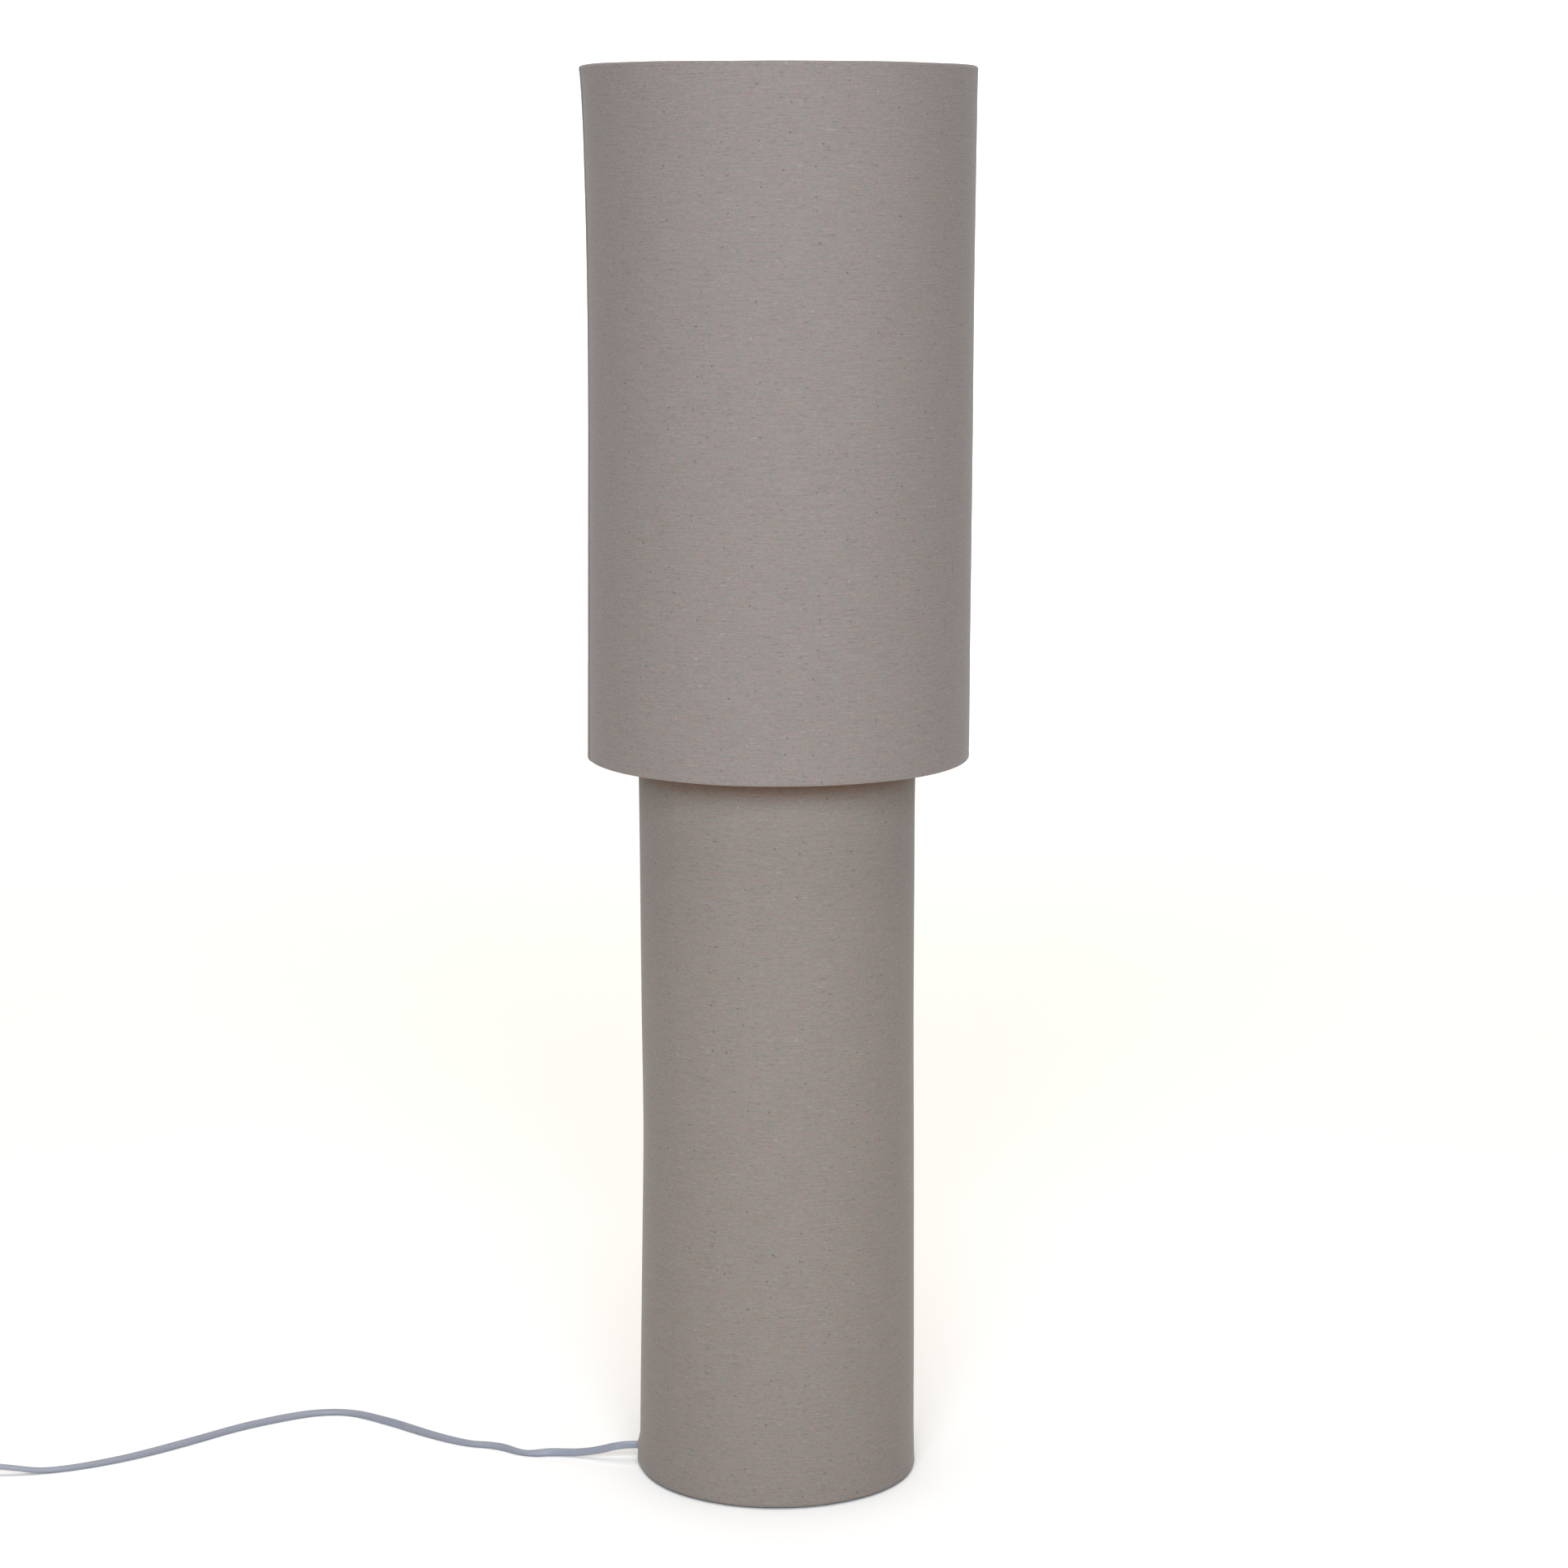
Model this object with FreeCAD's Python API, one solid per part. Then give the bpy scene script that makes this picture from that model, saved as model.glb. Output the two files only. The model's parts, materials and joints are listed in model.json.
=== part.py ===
import FreeCAD, Part
import math
import os
from collections import namedtuple

# Column floor lamp: a tall drum shade over a slimmer fabric-covered column that hides the pole and
# the weighted foot. Millimetres, +Z up, the front is -Y. The origin is the centre of the foot on
# the floor. The flex leaves the column on the -X side, runs over the floor to a foot switch, and
# ends in a put-away coil and its plug.

Vec = FreeCAD.Vector
CENTRE = Vec(0, 0, 0)
UP = Vec(0, 0, 1)
ALONG_X = Vec(1, 0, 0)

# ---- Whole lamp ----
lamp_height = 1120.0
shade_height = 537.0
column_overlap = 23.0           # how far the column's top stands up inside the shade
column_floor_gap = 1.0
upper_pole_length = 130.5

# ---- Fabric drums: the radius at the bottom, and how the wall bows on its way up ----
shade_radius = 150.7
shade_waist_in = 0.8
shade_top_out = 2.4
column_radius = 112.0
column_waist_in = 3.3
column_top_in = 2.3
fabric_thickness = 0.6
liner_thickness = 0.8
glue_gap = 0.05
hem_wire_radius = 1.75
hem_gap = 0.4
hem_return = 6.0                # the fabric's turned end behind the wire
lap_width = 10.0                # the seam, where one end of the laminate lies over the other
lap_step = 0.5
shade_seam_angle = 190.0
column_seam_angle = 90.0

# ---- Wire frames ----
spoke_count = 3
column_spoke_radius = 1.5
column_spoke_angle = 0.0
column_washer_radius = 20.0
column_washer_thickness = 2.0
bottom_spoke_bend = 4.0
bottom_spoke_run = 7.0          # how far the bottom spokes lean in before they lie level
shade_arm_radius = 1.75
shade_arm_angle = 90.0
shade_arm_bend = 14.0
shade_arm_level_run = 14.0      # the level end of each arm outside the fitter ring
fitter_radius = 31.0
fitter_thickness = 2.5
notch_gap = 0.4                 # fabric cut back round each spoke
weld_gap = 0.1

# ---- Foot ----
plate_inset = 12.0              # the plate's edge inside the column's wall
plate_thickness = 9.0
felt_inset = 3.0                # the felt's edge inside the plate's
felt_thickness = 2.0
bolt_radius = 4.0
bolt_head_radius = 6.5
bolt_head_height = 2.7
bolt_length = 24.0
bolt_hole_gap = 0.3
washer_radius = 8.0
washer_thickness = 1.6
counterbore_radius = 11.0
small_gap = 0.1

# ---- Pole ----
pole_radius = 8.0
pole_wall = 1.2
bush_length = 20.0
bush_fit = 0.05
nipple_radius = 5.0
nipple_bore = 4.0
nipple_length = 32.0
thread_fit = 0.03

# ---- Flex ----
cord_radius = 3.15
cord_gap = 0.05
cord_exit_height = cord_radius + felt_thickness + plate_thickness
lead_turn_x = -38.0             # where the inner lead starts to rise from the plate
lead_bend = 35.0
grommet_wall = 1.9
grommet_flange = 3.0
grommet_flange_thickness = 1.5
pole_grommet_wall = 1.3
pole_grommet_length = 8.0
clip_x = -66.0
clip_length = 14.0
clip_wall = 2.2
clip_flange_height = 3.0
clip_screw_offset = 11.0
clip_half_width = 15.5
clip_screw_radius = 1.5
clip_screw_head = 3.0
clip_screw_head_height = 1.8
clip_screw_depth = 6.0

# ---- Lamp holder, heights above the upper pole's top ----
neck_height = 8.0
neck_radius = 8.0
cap_radius = 19.5
cap_cone_height = 14.0
cap_height = 28.0
cap_wall = 1.6
skirt_radius = 19.2
skirt_crest = 0.7
skirt_pitch = 2.0
skirt_turns = 9
skirt_wall = 1.6
skirt_height = 34.0
shoulder_radius = 23.5
shoulder_height = 2.0
shoulder_thickness = 2.0
fitter_gap = 0.3
ring_height = 8.0
ring_radius = 27.5
ring_flange = 3.0
ring_bore_gap = 0.3
ring_grip_depth = 0.8
ring_grip_count = 24
insert_radius = 15.0
insert_height = 8.5
insert_rim_height = 5.6
terminal_size = 5.0
terminal_height = 8.0
terminal_offset = 7.0
shell_thickness = 0.35
contact_width = 6.0
contact_thickness = 0.6
contact_reach = 9.0
contact_rise = 2.5

# ---- Bulb, standard E27 ----
edison_radius = 12.65           # half way between the thread's crest and root
edison_wave = 0.45
edison_pitch = 3.6
edison_turns = 5
edison_gap = 0.3
bulb_shell = 0.5
bulb_tip_radius = 4.8
bulb_tip_height = 1.7
bulb_insulator_height = 4.2
bulb_collar_height = 31.0
bulb_collar_top_radius = 22.0
bulb_globe_radius = 30.0
bulb_height = 108.0

# ---- Foot switch ----
switch_length = 84.0
switch_width = 54.0
switch_height = 24.0
switch_wall = 2.0
switch_roof = 2.2
switch_edge = 5.0
switch_foot_height = 1.5
switch_foot_radius = 4.0
switch_foot_spot = (32.0, 9.5)
switch_parting_height = 8.0
switch_cord_height = 8.0
switch_screw_spot = (22.0, 19.5)
switch_screw_radius = 1.3
switch_screw_head = 2.6
switch_screw_head_height = 1.4
switch_screw_length = 11.0
switch_boss_radius = 3.0
switch_boss_seat = 4.0          # height of the base's bosses above its feet
button_radius = 18.8
button_flange = 2.5
button_flange_thickness = 2.2
button_wall = 2.0
button_proud = 4.5
button_crown = 2.0
button_gap = 0.3
button_travel = 3.5
button_boss_radius = 4.0
button_boss_drop = 2.3          # below the flange
bridge_thickness = 0.9
bridge_offset = 13.0
bridge_length = 31.0
bridge_width = 3.0
terminal_reach_gap = 0.4
spring_radius = 3.2
spring_wire_radius = 0.45
spring_turns = 5
spring_post_radius = 2.2
spring_post_height = 6.0
sleeve_length = 20.0
sleeve_big_radius = 6.0
sleeve_wall = 0.95
sleeve_flange = 1.5
sleeve_neck_radius = 4.2
sleeve_neck_length = 6.0

# ---- Plug, standard flat two-pin ----
plug_length = 36.0
plug_width = 35.0
plug_rear_width = 15.0
plug_thickness = 14.0
plug_edge = 2.0
pin_radius = 2.0
pin_core_radius = 1.5
pin_length = 19.0
pin_collar_length = 10.0
pin_collar_wall = 0.2
pin_spacing = 19.0
pin_tip = 1.0
pin_root = 8.0

# ---- Where the flex lies: points chosen along the visible line, then on to the switch ----
switch_end_x = -650.0           # the small end of the switch's inlet sleeve
switch_y = -35.0
FLOOR = cord_radius
CORD_BEND = (
    (-127.5, 0.0, cord_exit_height), (-146.0, 4.5, 7.6), (-163.0, 9.5, 3.9), (-180.0, 13.2, FLOOR),
    (-206.0, 11.6, FLOOR), (-230.5, 31.5, FLOOR), (-257.0, 36.5, FLOOR), (-292.0, 60.0, FLOOR),
    (-335.0, 97.5, FLOOR), (-362.0, 115.5, FLOOR), (-389.0, 114.5, FLOOR), (-418.0, 99.0, FLOOR),
    (-455.0, 72.0, FLOOR), (-488.0, 37.0, FLOOR), (-527.0, 3.0, FLOOR), (-567.0, -21.0, FLOOR),
    (-602.0, -33.0, 3.6), (-632.0, switch_y, switch_cord_height),
)

# ---- Coil: in and out again in two layers ----
coil_outer_radius = 44.0        # at the middle of the outermost turn
coil_pitch = 6.8                # from one turn to the next
coil_layer = 6.8
coil_quarters_in = 9            # quarter turns from the start to the tightest point
coil_run = 67.0                 # from the outlet sleeve to the coil's first face
plug_run = 70.0                 # from the coil's last face to the plug's sleeve
run_lead = 14.0                 # the straight start and end of those two runs
run_sag = 0.7                   # how far their middle lies over or under the line between

# ---- Worked out from the sizes above ----
Drum = namedtuple("Drum", "bottom_z top_z bottom_r waist_r top_r")
shade_bottom_z = lamp_height - shade_height
column_top_z = shade_bottom_z + column_overlap
shade = Drum(shade_bottom_z, lamp_height,
             shade_radius, shade_radius - shade_waist_in, shade_radius + shade_top_out)
column = Drum(column_floor_gap, column_top_z,
              column_radius, column_radius - column_waist_in, column_radius - column_top_in)
roll_in = hem_wire_radius + hem_gap
roll_out = roll_in + fabric_thickness
plate_radius = column_radius - plate_inset
plate_top = felt_thickness + plate_thickness
pole_bottom = plate_top + column_washer_thickness
pole_joint = column_top_z - roll_out                # the top spider's middle
pole_bore = pole_radius - pole_wall
holder_z = pole_joint + column_washer_thickness / 2 + upper_pole_length
shoulder_z = holder_z + cap_height + shoulder_height
fitter_z = shoulder_z + shoulder_thickness + fitter_gap
ring_z = fitter_z + fitter_thickness + fitter_gap
fitter_bore = skirt_radius + skirt_crest + 2 * ring_bore_gap
shell_z = holder_z + cap_height + skirt_wall + 2 * small_gap
bulb_thread_z = shell_z + edison_pitch * 2
bulb_tip_z = bulb_thread_z - bulb_insulator_height - bulb_tip_height
collar_z = bulb_thread_z + edison_pitch * edison_turns
parts = {}


# ---- Basic forms ----
def cylinder(radius, bottom, top, x=0.0, y=0.0):
    return Part.makeCylinder(radius, top - bottom, Vec(x, y, bottom))


def tube(outer, inner, bottom, top, x=0.0, y=0.0):
    return cylinder(outer, bottom, top, x, y).cut(cylinder(inner, bottom, top, x, y))


def block(low, high):
    return Part.makeBox(high[0] - low[0], high[1] - low[1], high[2] - low[2], Vec(*low))


def rod(radius, start, end):
    return Part.makeCylinder(radius, (end - start).Length, start, end - start)


def around_z(shape, angle):
    turned = shape.copy()
    turned.rotate(CENTRE, UP, angle)
    return turned


def ring_of(shape, count, first_angle=0.0):
    return [around_z(shape, first_angle + 360.0 * index / count) for index in range(count)]


def moved(shape, x, y, z=0.0):
    copy = shape.copy()
    copy.translate(Vec(x, y, z))
    return copy


def unit(vector):
    return Vec(vector).normalize()


class Outline:
    """A closed outline in the XZ plane, drawn edge by edge and turned about the Z axis."""

    def __init__(self, radius, z):
        self.here = Vec(radius, 0, z)
        self.first = self.here
        self.edges = []

    def line(self, radius, z):
        end = Vec(radius, 0, z)
        self.edges.append(Part.LineSegment(self.here, end).toShape())
        self.here = end

    def arc(self, mid_radius, mid_z, radius, z):
        end = Vec(radius, 0, z)
        self.edges.append(Part.Arc(self.here, Vec(mid_radius, 0, mid_z), end).toShape())
        self.here = end

    def bow(self, mid_radius, mid_z, radius, z):
        """A very flat curve, drawn as a parabola."""
        end = Vec(radius, 0, z)
        pull = Vec(mid_radius, 0, mid_z) * 2 - (self.here + end) * 0.5
        curve = Part.BezierCurve()
        curve.setPoles([self.here, pull, end])
        self.edges.append(curve.toShape())
        self.here = end

    def turned(self, angle=360.0):
        self.line(self.first.x, self.first.z)
        return Part.Face(Part.Wire(self.edges)).revolve(CENTRE, UP, angle)


def turned_outline(points):
    outline = Outline(*points[0])
    for point in points[1:]:
        outline.line(*point)
    return outline.turned()


# ---- Bent wires, cords and windings ----
def arc_edge(start, corner, end):
    """An arc that leaves start and reaches end along the two sides of the corner."""
    middle = (start + end) * 0.5
    half = math.atan2((corner - middle).Length, (end - start).Length / 2)
    through = middle + (corner - middle) * (math.tan(half / 2) / math.tan(half))
    return Part.Arc(start, through, end).toShape()


def rounded_path(points, bend=None):
    """Straight runs joined by tangent arcs; returns the wire and the arcs' radii."""
    edges = []
    radii = []
    here = points[0]
    for before, corner, after in zip(points, points[1:], points[2:]):
        into = corner - before
        out = after - corner
        slope = math.tan(into.getAngle(out) / 2)
        reach = bend * slope if bend else 0.45 * min(into.Length, out.Length)
        start = corner - unit(into) * reach
        end = corner + unit(out) * reach
        edges.append(Part.LineSegment(here, start).toShape())
        edges.append(arc_edge(start, corner, end))
        radii.append(reach / slope)
        here = end
    edges.append(Part.LineSegment(here, points[-1]).toShape())
    return Part.Wire(edges), radii


def pipe(path, radius):
    first = path.Edges[0]
    start = first.valueAt(first.FirstParameter)
    heading = first.tangentAt(first.FirstParameter)
    section = Part.Wire(Part.makeCircle(radius, start, heading))
    return path.makePipeShell([section], True, False)


def bent_wire(points, radius, bend):
    return pipe(rounded_path(points, bend)[0], radius)


def report_pipe(name, solid, path, radius, radii=()):
    expected = math.pi * radius ** 2 * path.Length
    tightest = f", tightest radius {min(radii):.1f}" if radii else ""
    print(f"{name}: length {path.Length:.1f}, volume {solid.Volume / expected:.4f} of "
          f"section x length{tightest}")


def biarc(start, start_heading, end, end_heading):
    """Two arcs that join two points and keep the heading at each."""
    across = end - start
    both = start_heading + end_heading
    fold = 2 * (1 - start_heading.dot(end_heading))
    along = across.dot(both)
    reach = (math.sqrt(along ** 2 + fold * across.dot(across)) - along) / fold
    first_corner = start + start_heading * reach
    last_corner = end - end_heading * reach
    joint = (first_corner + last_corner) * 0.5
    return [arc_edge(start, first_corner, joint), arc_edge(joint, last_corner, end)]


def winding(stations):
    edges = []
    for (start, start_heading), (end, end_heading) in zip(stations, stations[1:]):
        edges += biarc(start, start_heading, end, end_heading)
    return edges


def least_gap(path, radius, step=2.0):
    """The least gap between parts of a winding that aren't neighbours along it."""
    points = path.discretize(Distance=step)
    apart = int(6 * radius / step) + 2
    nearest = min((points[j] - points[i]).Length
                  for i in range(len(points)) for j in range(i + apart, len(points)))
    return nearest - 2 * radius


# ---- Fabric drums ----
def wall_radius(drum, z):
    """The drum's outer radius at a height: a shallow bow through bottom, waist and top."""
    share = (2 * z - drum.bottom_z - drum.top_z) / (drum.top_z - drum.bottom_z)
    lean = (drum.top_r - drum.bottom_r) / 2
    bow = (drum.top_r + drum.bottom_r) / 2 - drum.waist_r
    return drum.waist_r + lean * share + bow * share ** 2


def draw_wall(outline, drum, inset, end_z):
    mid_z = (outline.here.z + end_z) / 2
    outline.bow(wall_radius(drum, mid_z) - inset, mid_z, wall_radius(drum, end_z) - inset, end_z)


def hem(drum, at_top):
    """Radius and height of the middle of the wire in a rolled edge."""
    z = drum.top_z - roll_out if at_top else drum.bottom_z + roll_out
    return wall_radius(drum, z) - roll_out, z


def hem_ring(drum, at_top):
    radius, z = hem(drum, at_top)
    return Part.makeTorus(radius, hem_wire_radius, Vec(0, 0, z), UP)


def fabric_wall(drum):
    low_r, low_z = hem(drum, False)
    high_r, high_z = hem(drum, True)
    outline = Outline(low_r - roll_out, low_z + hem_return)
    outline.line(low_r - roll_out, low_z)
    outline.arc(low_r, low_z - roll_out, low_r + roll_out, low_z)
    draw_wall(outline, drum, 0, high_z)
    outline.arc(high_r, high_z + roll_out, high_r - roll_out, high_z)
    outline.line(high_r - roll_out, high_z - hem_return)
    outline.line(high_r - roll_in, high_z - hem_return)
    outline.line(high_r - roll_in, high_z)
    outline.arc(high_r, high_z + roll_in, high_r + roll_in, high_z)
    draw_wall(outline, drum, fabric_thickness, low_z)
    outline.arc(low_r, low_z - roll_in, low_r - roll_in, low_z)
    outline.line(low_r - roll_in, low_z + hem_return)
    return outline.turned()


def seam_lap(drum, angle):
    """The strip where the laminate's end lies over its beginning."""
    low_z = drum.bottom_z + roll_out
    high_z = drum.top_z - roll_out
    root = fabric_thickness / 2
    outline = Outline(wall_radius(drum, low_z) - root, low_z)
    outline.line(wall_radius(drum, low_z) + lap_step, low_z)
    draw_wall(outline, drum, -lap_step, high_z)
    outline.line(wall_radius(drum, high_z) - root, high_z)
    draw_wall(outline, drum, root, low_z)
    sweep = math.degrees(lap_width / drum.waist_r)
    return around_z(Part.Face(Part.Wire(outline.edges)).revolve(CENTRE, UP, sweep), angle - sweep)


def drum_fabric(drum, seam_angle):
    return fabric_wall(drum).fuse(seam_lap(drum, seam_angle))


def drum_liner(drum):
    low_z = drum.bottom_z + roll_out + hem_wire_radius + hem_gap * 2
    high_z = drum.top_z - roll_out - hem_wire_radius - hem_gap * 2
    skin = fabric_thickness + glue_gap
    outline = Outline(wall_radius(drum, low_z) - skin, low_z)
    draw_wall(outline, drum, skin, high_z)
    outline.line(wall_radius(drum, high_z) - skin - liner_thickness, high_z)
    draw_wall(outline, drum, skin + liner_thickness, low_z)
    return outline.turned()


# ---- Wire frames inside the drums ----
def weld_point(drum, at_top, toward):
    """Where a spoke that points at the ring wire's middle stops short of the wire."""
    radius, z = hem(drum, at_top)
    centre = Vec(radius, 0, z)
    return centre + unit(toward - centre) * (hem_wire_radius + weld_gap)


def bottom_spoke(radius):
    level = plate_top + column_spoke_radius + small_gap
    corner = Vec(hem(column, False)[0] - bottom_spoke_run, 0, level)
    inner = Vec(column_washer_radius - column_spoke_radius, 0, level)
    return bent_wire([weld_point(column, False, corner), corner, inner], radius,
                     bottom_spoke_bend)


def top_spoke(radius):
    inner = Vec(column_washer_radius - column_spoke_radius, 0, hem(column, True)[1])
    return rod(radius, weld_point(column, True, inner), inner)


def shade_arm(radius):
    level = fitter_z + fitter_thickness / 2
    corner = Vec(fitter_radius + shade_arm_level_run, 0, level)
    inner = Vec(fitter_radius - shade_arm_radius, 0, level)
    return bent_wire([weld_point(shade, False, corner), corner, inner], radius, shade_arm_bend)


def washer_frame(spoke, spoke_angle, outer, bore, bottom, thickness):
    """Spokes welded to a flat washer."""
    washer = tube(outer, bore, bottom, bottom + thickness)
    return washer.multiFuse(ring_of(spoke, spoke_count, spoke_angle))


def notched(fabric, notches):
    return fabric.cut(Part.makeCompound(notches))


def wire_frames():
    parts["column_bottom_ring"] = hem_ring(column, False)
    parts["column_top_ring"] = hem_ring(column, True)
    parts["shade_bottom_ring"] = hem_ring(shade, False)
    parts["shade_top_ring"] = hem_ring(shade, True)
    parts["column_bottom_spider"] = washer_frame(
        bottom_spoke(column_spoke_radius), column_spoke_angle, column_washer_radius,
        bolt_radius + bolt_hole_gap, plate_top, column_washer_thickness)
    parts["column_top_spider"] = washer_frame(
        top_spoke(column_spoke_radius), column_spoke_angle, column_washer_radius,
        nipple_radius + bolt_hole_gap, pole_joint - column_washer_thickness / 2,
        column_washer_thickness)
    parts["shade_spider"] = washer_frame(
        shade_arm(shade_arm_radius), shade_arm_angle, fitter_radius, fitter_bore, fitter_z,
        fitter_thickness)


def fabric_covers():
    exit_hole = rod(cord_radius + cord_gap + grommet_wall + small_gap,
                    Vec(-column_radius * 0.8, 0, cord_exit_height),
                    Vec(-column_radius * 1.2, 0, cord_exit_height))
    column_notches = (
        ring_of(bottom_spoke(column_spoke_radius + notch_gap), spoke_count, column_spoke_angle)
        + ring_of(top_spoke(column_spoke_radius + notch_gap), spoke_count, column_spoke_angle))
    shade_notches = ring_of(shade_arm(shade_arm_radius + notch_gap), spoke_count, shade_arm_angle)
    parts["column_fabric"] = notched(
        drum_fabric(column, column_seam_angle), column_notches).cut(exit_hole)
    parts["column_liner"] = drum_liner(column).cut(exit_hole)
    parts["shade_fabric"] = notched(drum_fabric(shade, shade_seam_angle), shade_notches)
    parts["shade_liner"] = drum_liner(shade)


# ---- Foot and pole ----
def foot():
    washer_top = plate_top - plate_thickness / 2
    head_top = washer_top - washer_thickness
    parts["base_felt"] = cylinder(plate_radius - felt_inset, 0, felt_thickness)
    plate = cylinder(plate_radius, felt_thickness, plate_top)
    plate = plate.cut(cylinder(counterbore_radius, felt_thickness, washer_top))
    plate = plate.cut(cylinder(bolt_radius + bolt_hole_gap, washer_top, plate_top))
    screw_hole = cylinder(clip_screw_radius + bush_fit, plate_top - clip_screw_depth, plate_top,
                          clip_x)
    for side in (-1, 1):
        plate = plate.cut(moved(screw_hole, 0, side * clip_screw_offset))
    parts["base_plate"] = plate
    parts["base_washer"] = tube(washer_radius, bolt_radius + bolt_hole_gap, head_top, washer_top)
    parts["base_bolt"] = turned_outline([
        (0, head_top - bolt_head_height), (bolt_head_radius - 1, head_top - bolt_head_height),
        (bolt_head_radius, head_top - bolt_head_height + 1), (bolt_head_radius, head_top),
        (bolt_radius, head_top), (bolt_radius, head_top + bolt_length - 1),
        (bolt_radius - 1, head_top + bolt_length), (0, head_top + bolt_length)])


def bush(bottom, bore):
    return tube(pole_bore - bush_fit, bore + thread_fit, bottom, bottom + bush_length)


def hollow_nipple(middle):
    return tube(nipple_radius, nipple_bore, middle - nipple_length / 2, middle + nipple_length / 2)


def lead_corner():
    """Where the rising lead meets the pole's axis; it leans in at 56 degrees."""
    return Vec(0, 0, cord_exit_height - lead_turn_x * math.tan(math.radians(56.0)))


def pole():
    half_washer = column_washer_thickness / 2
    joint_low = pole_joint - half_washer
    joint_high = pole_joint + half_washer
    lean = unit(lead_corner() - Vec(lead_turn_x, 0, cord_exit_height))
    wall = lead_corner() + lean * ((pole_radius - pole_wall / 2) / -lean.x)
    grommet_radius = cord_radius + cord_gap + pole_grommet_wall
    opening = rod(grommet_radius + bush_fit, wall - lean * 20.0, lead_corner())
    lower = tube(pole_radius, pole_bore, pole_bottom, joint_low).cut(opening)
    parts["lower_pole"] = lower
    parts["upper_pole"] = tube(pole_radius, pole_bore, joint_high, holder_z)
    parts["pole_foot_bush"] = bush(pole_bottom, bolt_radius)
    parts["pole_bushes"] = Part.makeCompound([
        bush(joint_low - bush_length, nipple_radius), bush(joint_high, nipple_radius),
        bush(holder_z - bush_length, nipple_radius)])
    parts["pole_nipple"] = hollow_nipple(pole_joint)
    parts["holder_nipple"] = hollow_nipple(holder_z + neck_height - nipple_length / 2)
    half = lean * (pole_grommet_length / 2)
    grommet = rod(grommet_radius, wall - half, wall + half)
    parts["pole_grommet"] = grommet.cut(rod(cord_radius + cord_gap, wall - lean * 20.0,
                                            lead_corner()))


# ---- The lead inside the lamp, and what holds it ----
def cord_exit():
    return Vec(-column_radius - fabric_thickness, 0, cord_exit_height)


def inner_lead():
    points = [cord_exit(), Vec(lead_turn_x, 0, cord_exit_height), lead_corner(),
              Vec(0, 0, holder_z + neck_height)]
    path, radii = rounded_path(points, lead_bend)
    solid = pipe(path, cord_radius)
    report_pipe("inner_lead", solid, path, cord_radius, radii)
    parts["inner_lead"] = solid


def cord_grommet():
    exit_x = cord_exit().x
    bore = cord_radius + cord_gap
    neck = bore + grommet_wall
    skin = fabric_thickness + glue_gap + liner_thickness
    flange_x = -wall_radius(column, cord_exit_height) + skin + 0.35
    body = rod(neck, Vec(exit_x, 0, cord_exit_height), Vec(flange_x, 0, cord_exit_height))
    flange = rod(neck + grommet_flange, Vec(flange_x, 0, cord_exit_height),
                 Vec(flange_x + grommet_flange_thickness, 0, cord_exit_height))
    hole = rod(bore, Vec(exit_x - 1, 0, cord_exit_height),
               Vec(flange_x + 5, 0, cord_exit_height))
    parts["cord_grommet"] = body.fuse(flange).cut(hole)


def cord_clip():
    bore = cord_radius + cord_gap
    half = clip_length / 2
    arch_half = bore + clip_wall
    flange = block((clip_x - half, -clip_half_width, plate_top),
                   (clip_x + half, clip_half_width, plate_top + clip_flange_height))
    arch = block((clip_x - half, -arch_half, plate_top),
                 (clip_x + half, arch_half, cord_exit_height))
    crown = rod(arch_half, Vec(clip_x - half, 0, cord_exit_height),
                Vec(clip_x + half, 0, cord_exit_height))
    crown = crown.cut(block((clip_x - half, -arch_half, plate_top - arch_half),
                            (clip_x + half, arch_half, plate_top)))
    tunnel = rod(bore, Vec(clip_x - half, 0, cord_exit_height),
                 Vec(clip_x + half, 0, cord_exit_height))
    slot = block((clip_x - half, -bore, plate_top), (clip_x + half, bore, cord_exit_height))
    clip = flange.fuse(arch).fuse(crown).cut(tunnel).cut(slot)
    head_z = plate_top + clip_flange_height
    screws = []
    for side in (-1, 1):
        y = side * clip_screw_offset
        clip = clip.cut(cylinder(clip_screw_radius + bolt_hole_gap, plate_top, head_z, clip_x, y))
        shank = cylinder(clip_screw_radius, plate_top - clip_screw_depth + small_gap, head_z,
                         clip_x, y)
        head = cylinder(clip_screw_head, head_z, head_z + clip_screw_head_height, clip_x, y)
        screws.append(head.fuse(shank))
    parts["cord_clip"] = clip
    parts["cord_clip_screws"] = Part.makeCompound(screws)


# ---- Lamp holder ----
def holder_cap():
    base = holder_z
    step = base + neck_height
    cone = base + neck_height + cap_cone_height
    top = base + cap_height
    parts["holder_cap"] = turned_outline([
        (nipple_radius + thread_fit, base), (neck_radius, base), (neck_radius, step),
        (cap_radius, cone), (cap_radius, top), (cap_radius - cap_wall, top),
        (cap_radius - cap_wall, cone), (neck_radius, step + cap_wall),
        (nipple_radius + thread_fit, step + cap_wall)])


def thread_points(radius, crest, pitch, turns, bottom):
    """A zigzag of ring threads, from the bottom up."""
    points = []
    for turn in range(turns):
        z = bottom + pitch * turn
        points += [(radius, z), (radius + crest, z + pitch / 2)]
    return points + [(radius, bottom + pitch * turns)]


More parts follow.
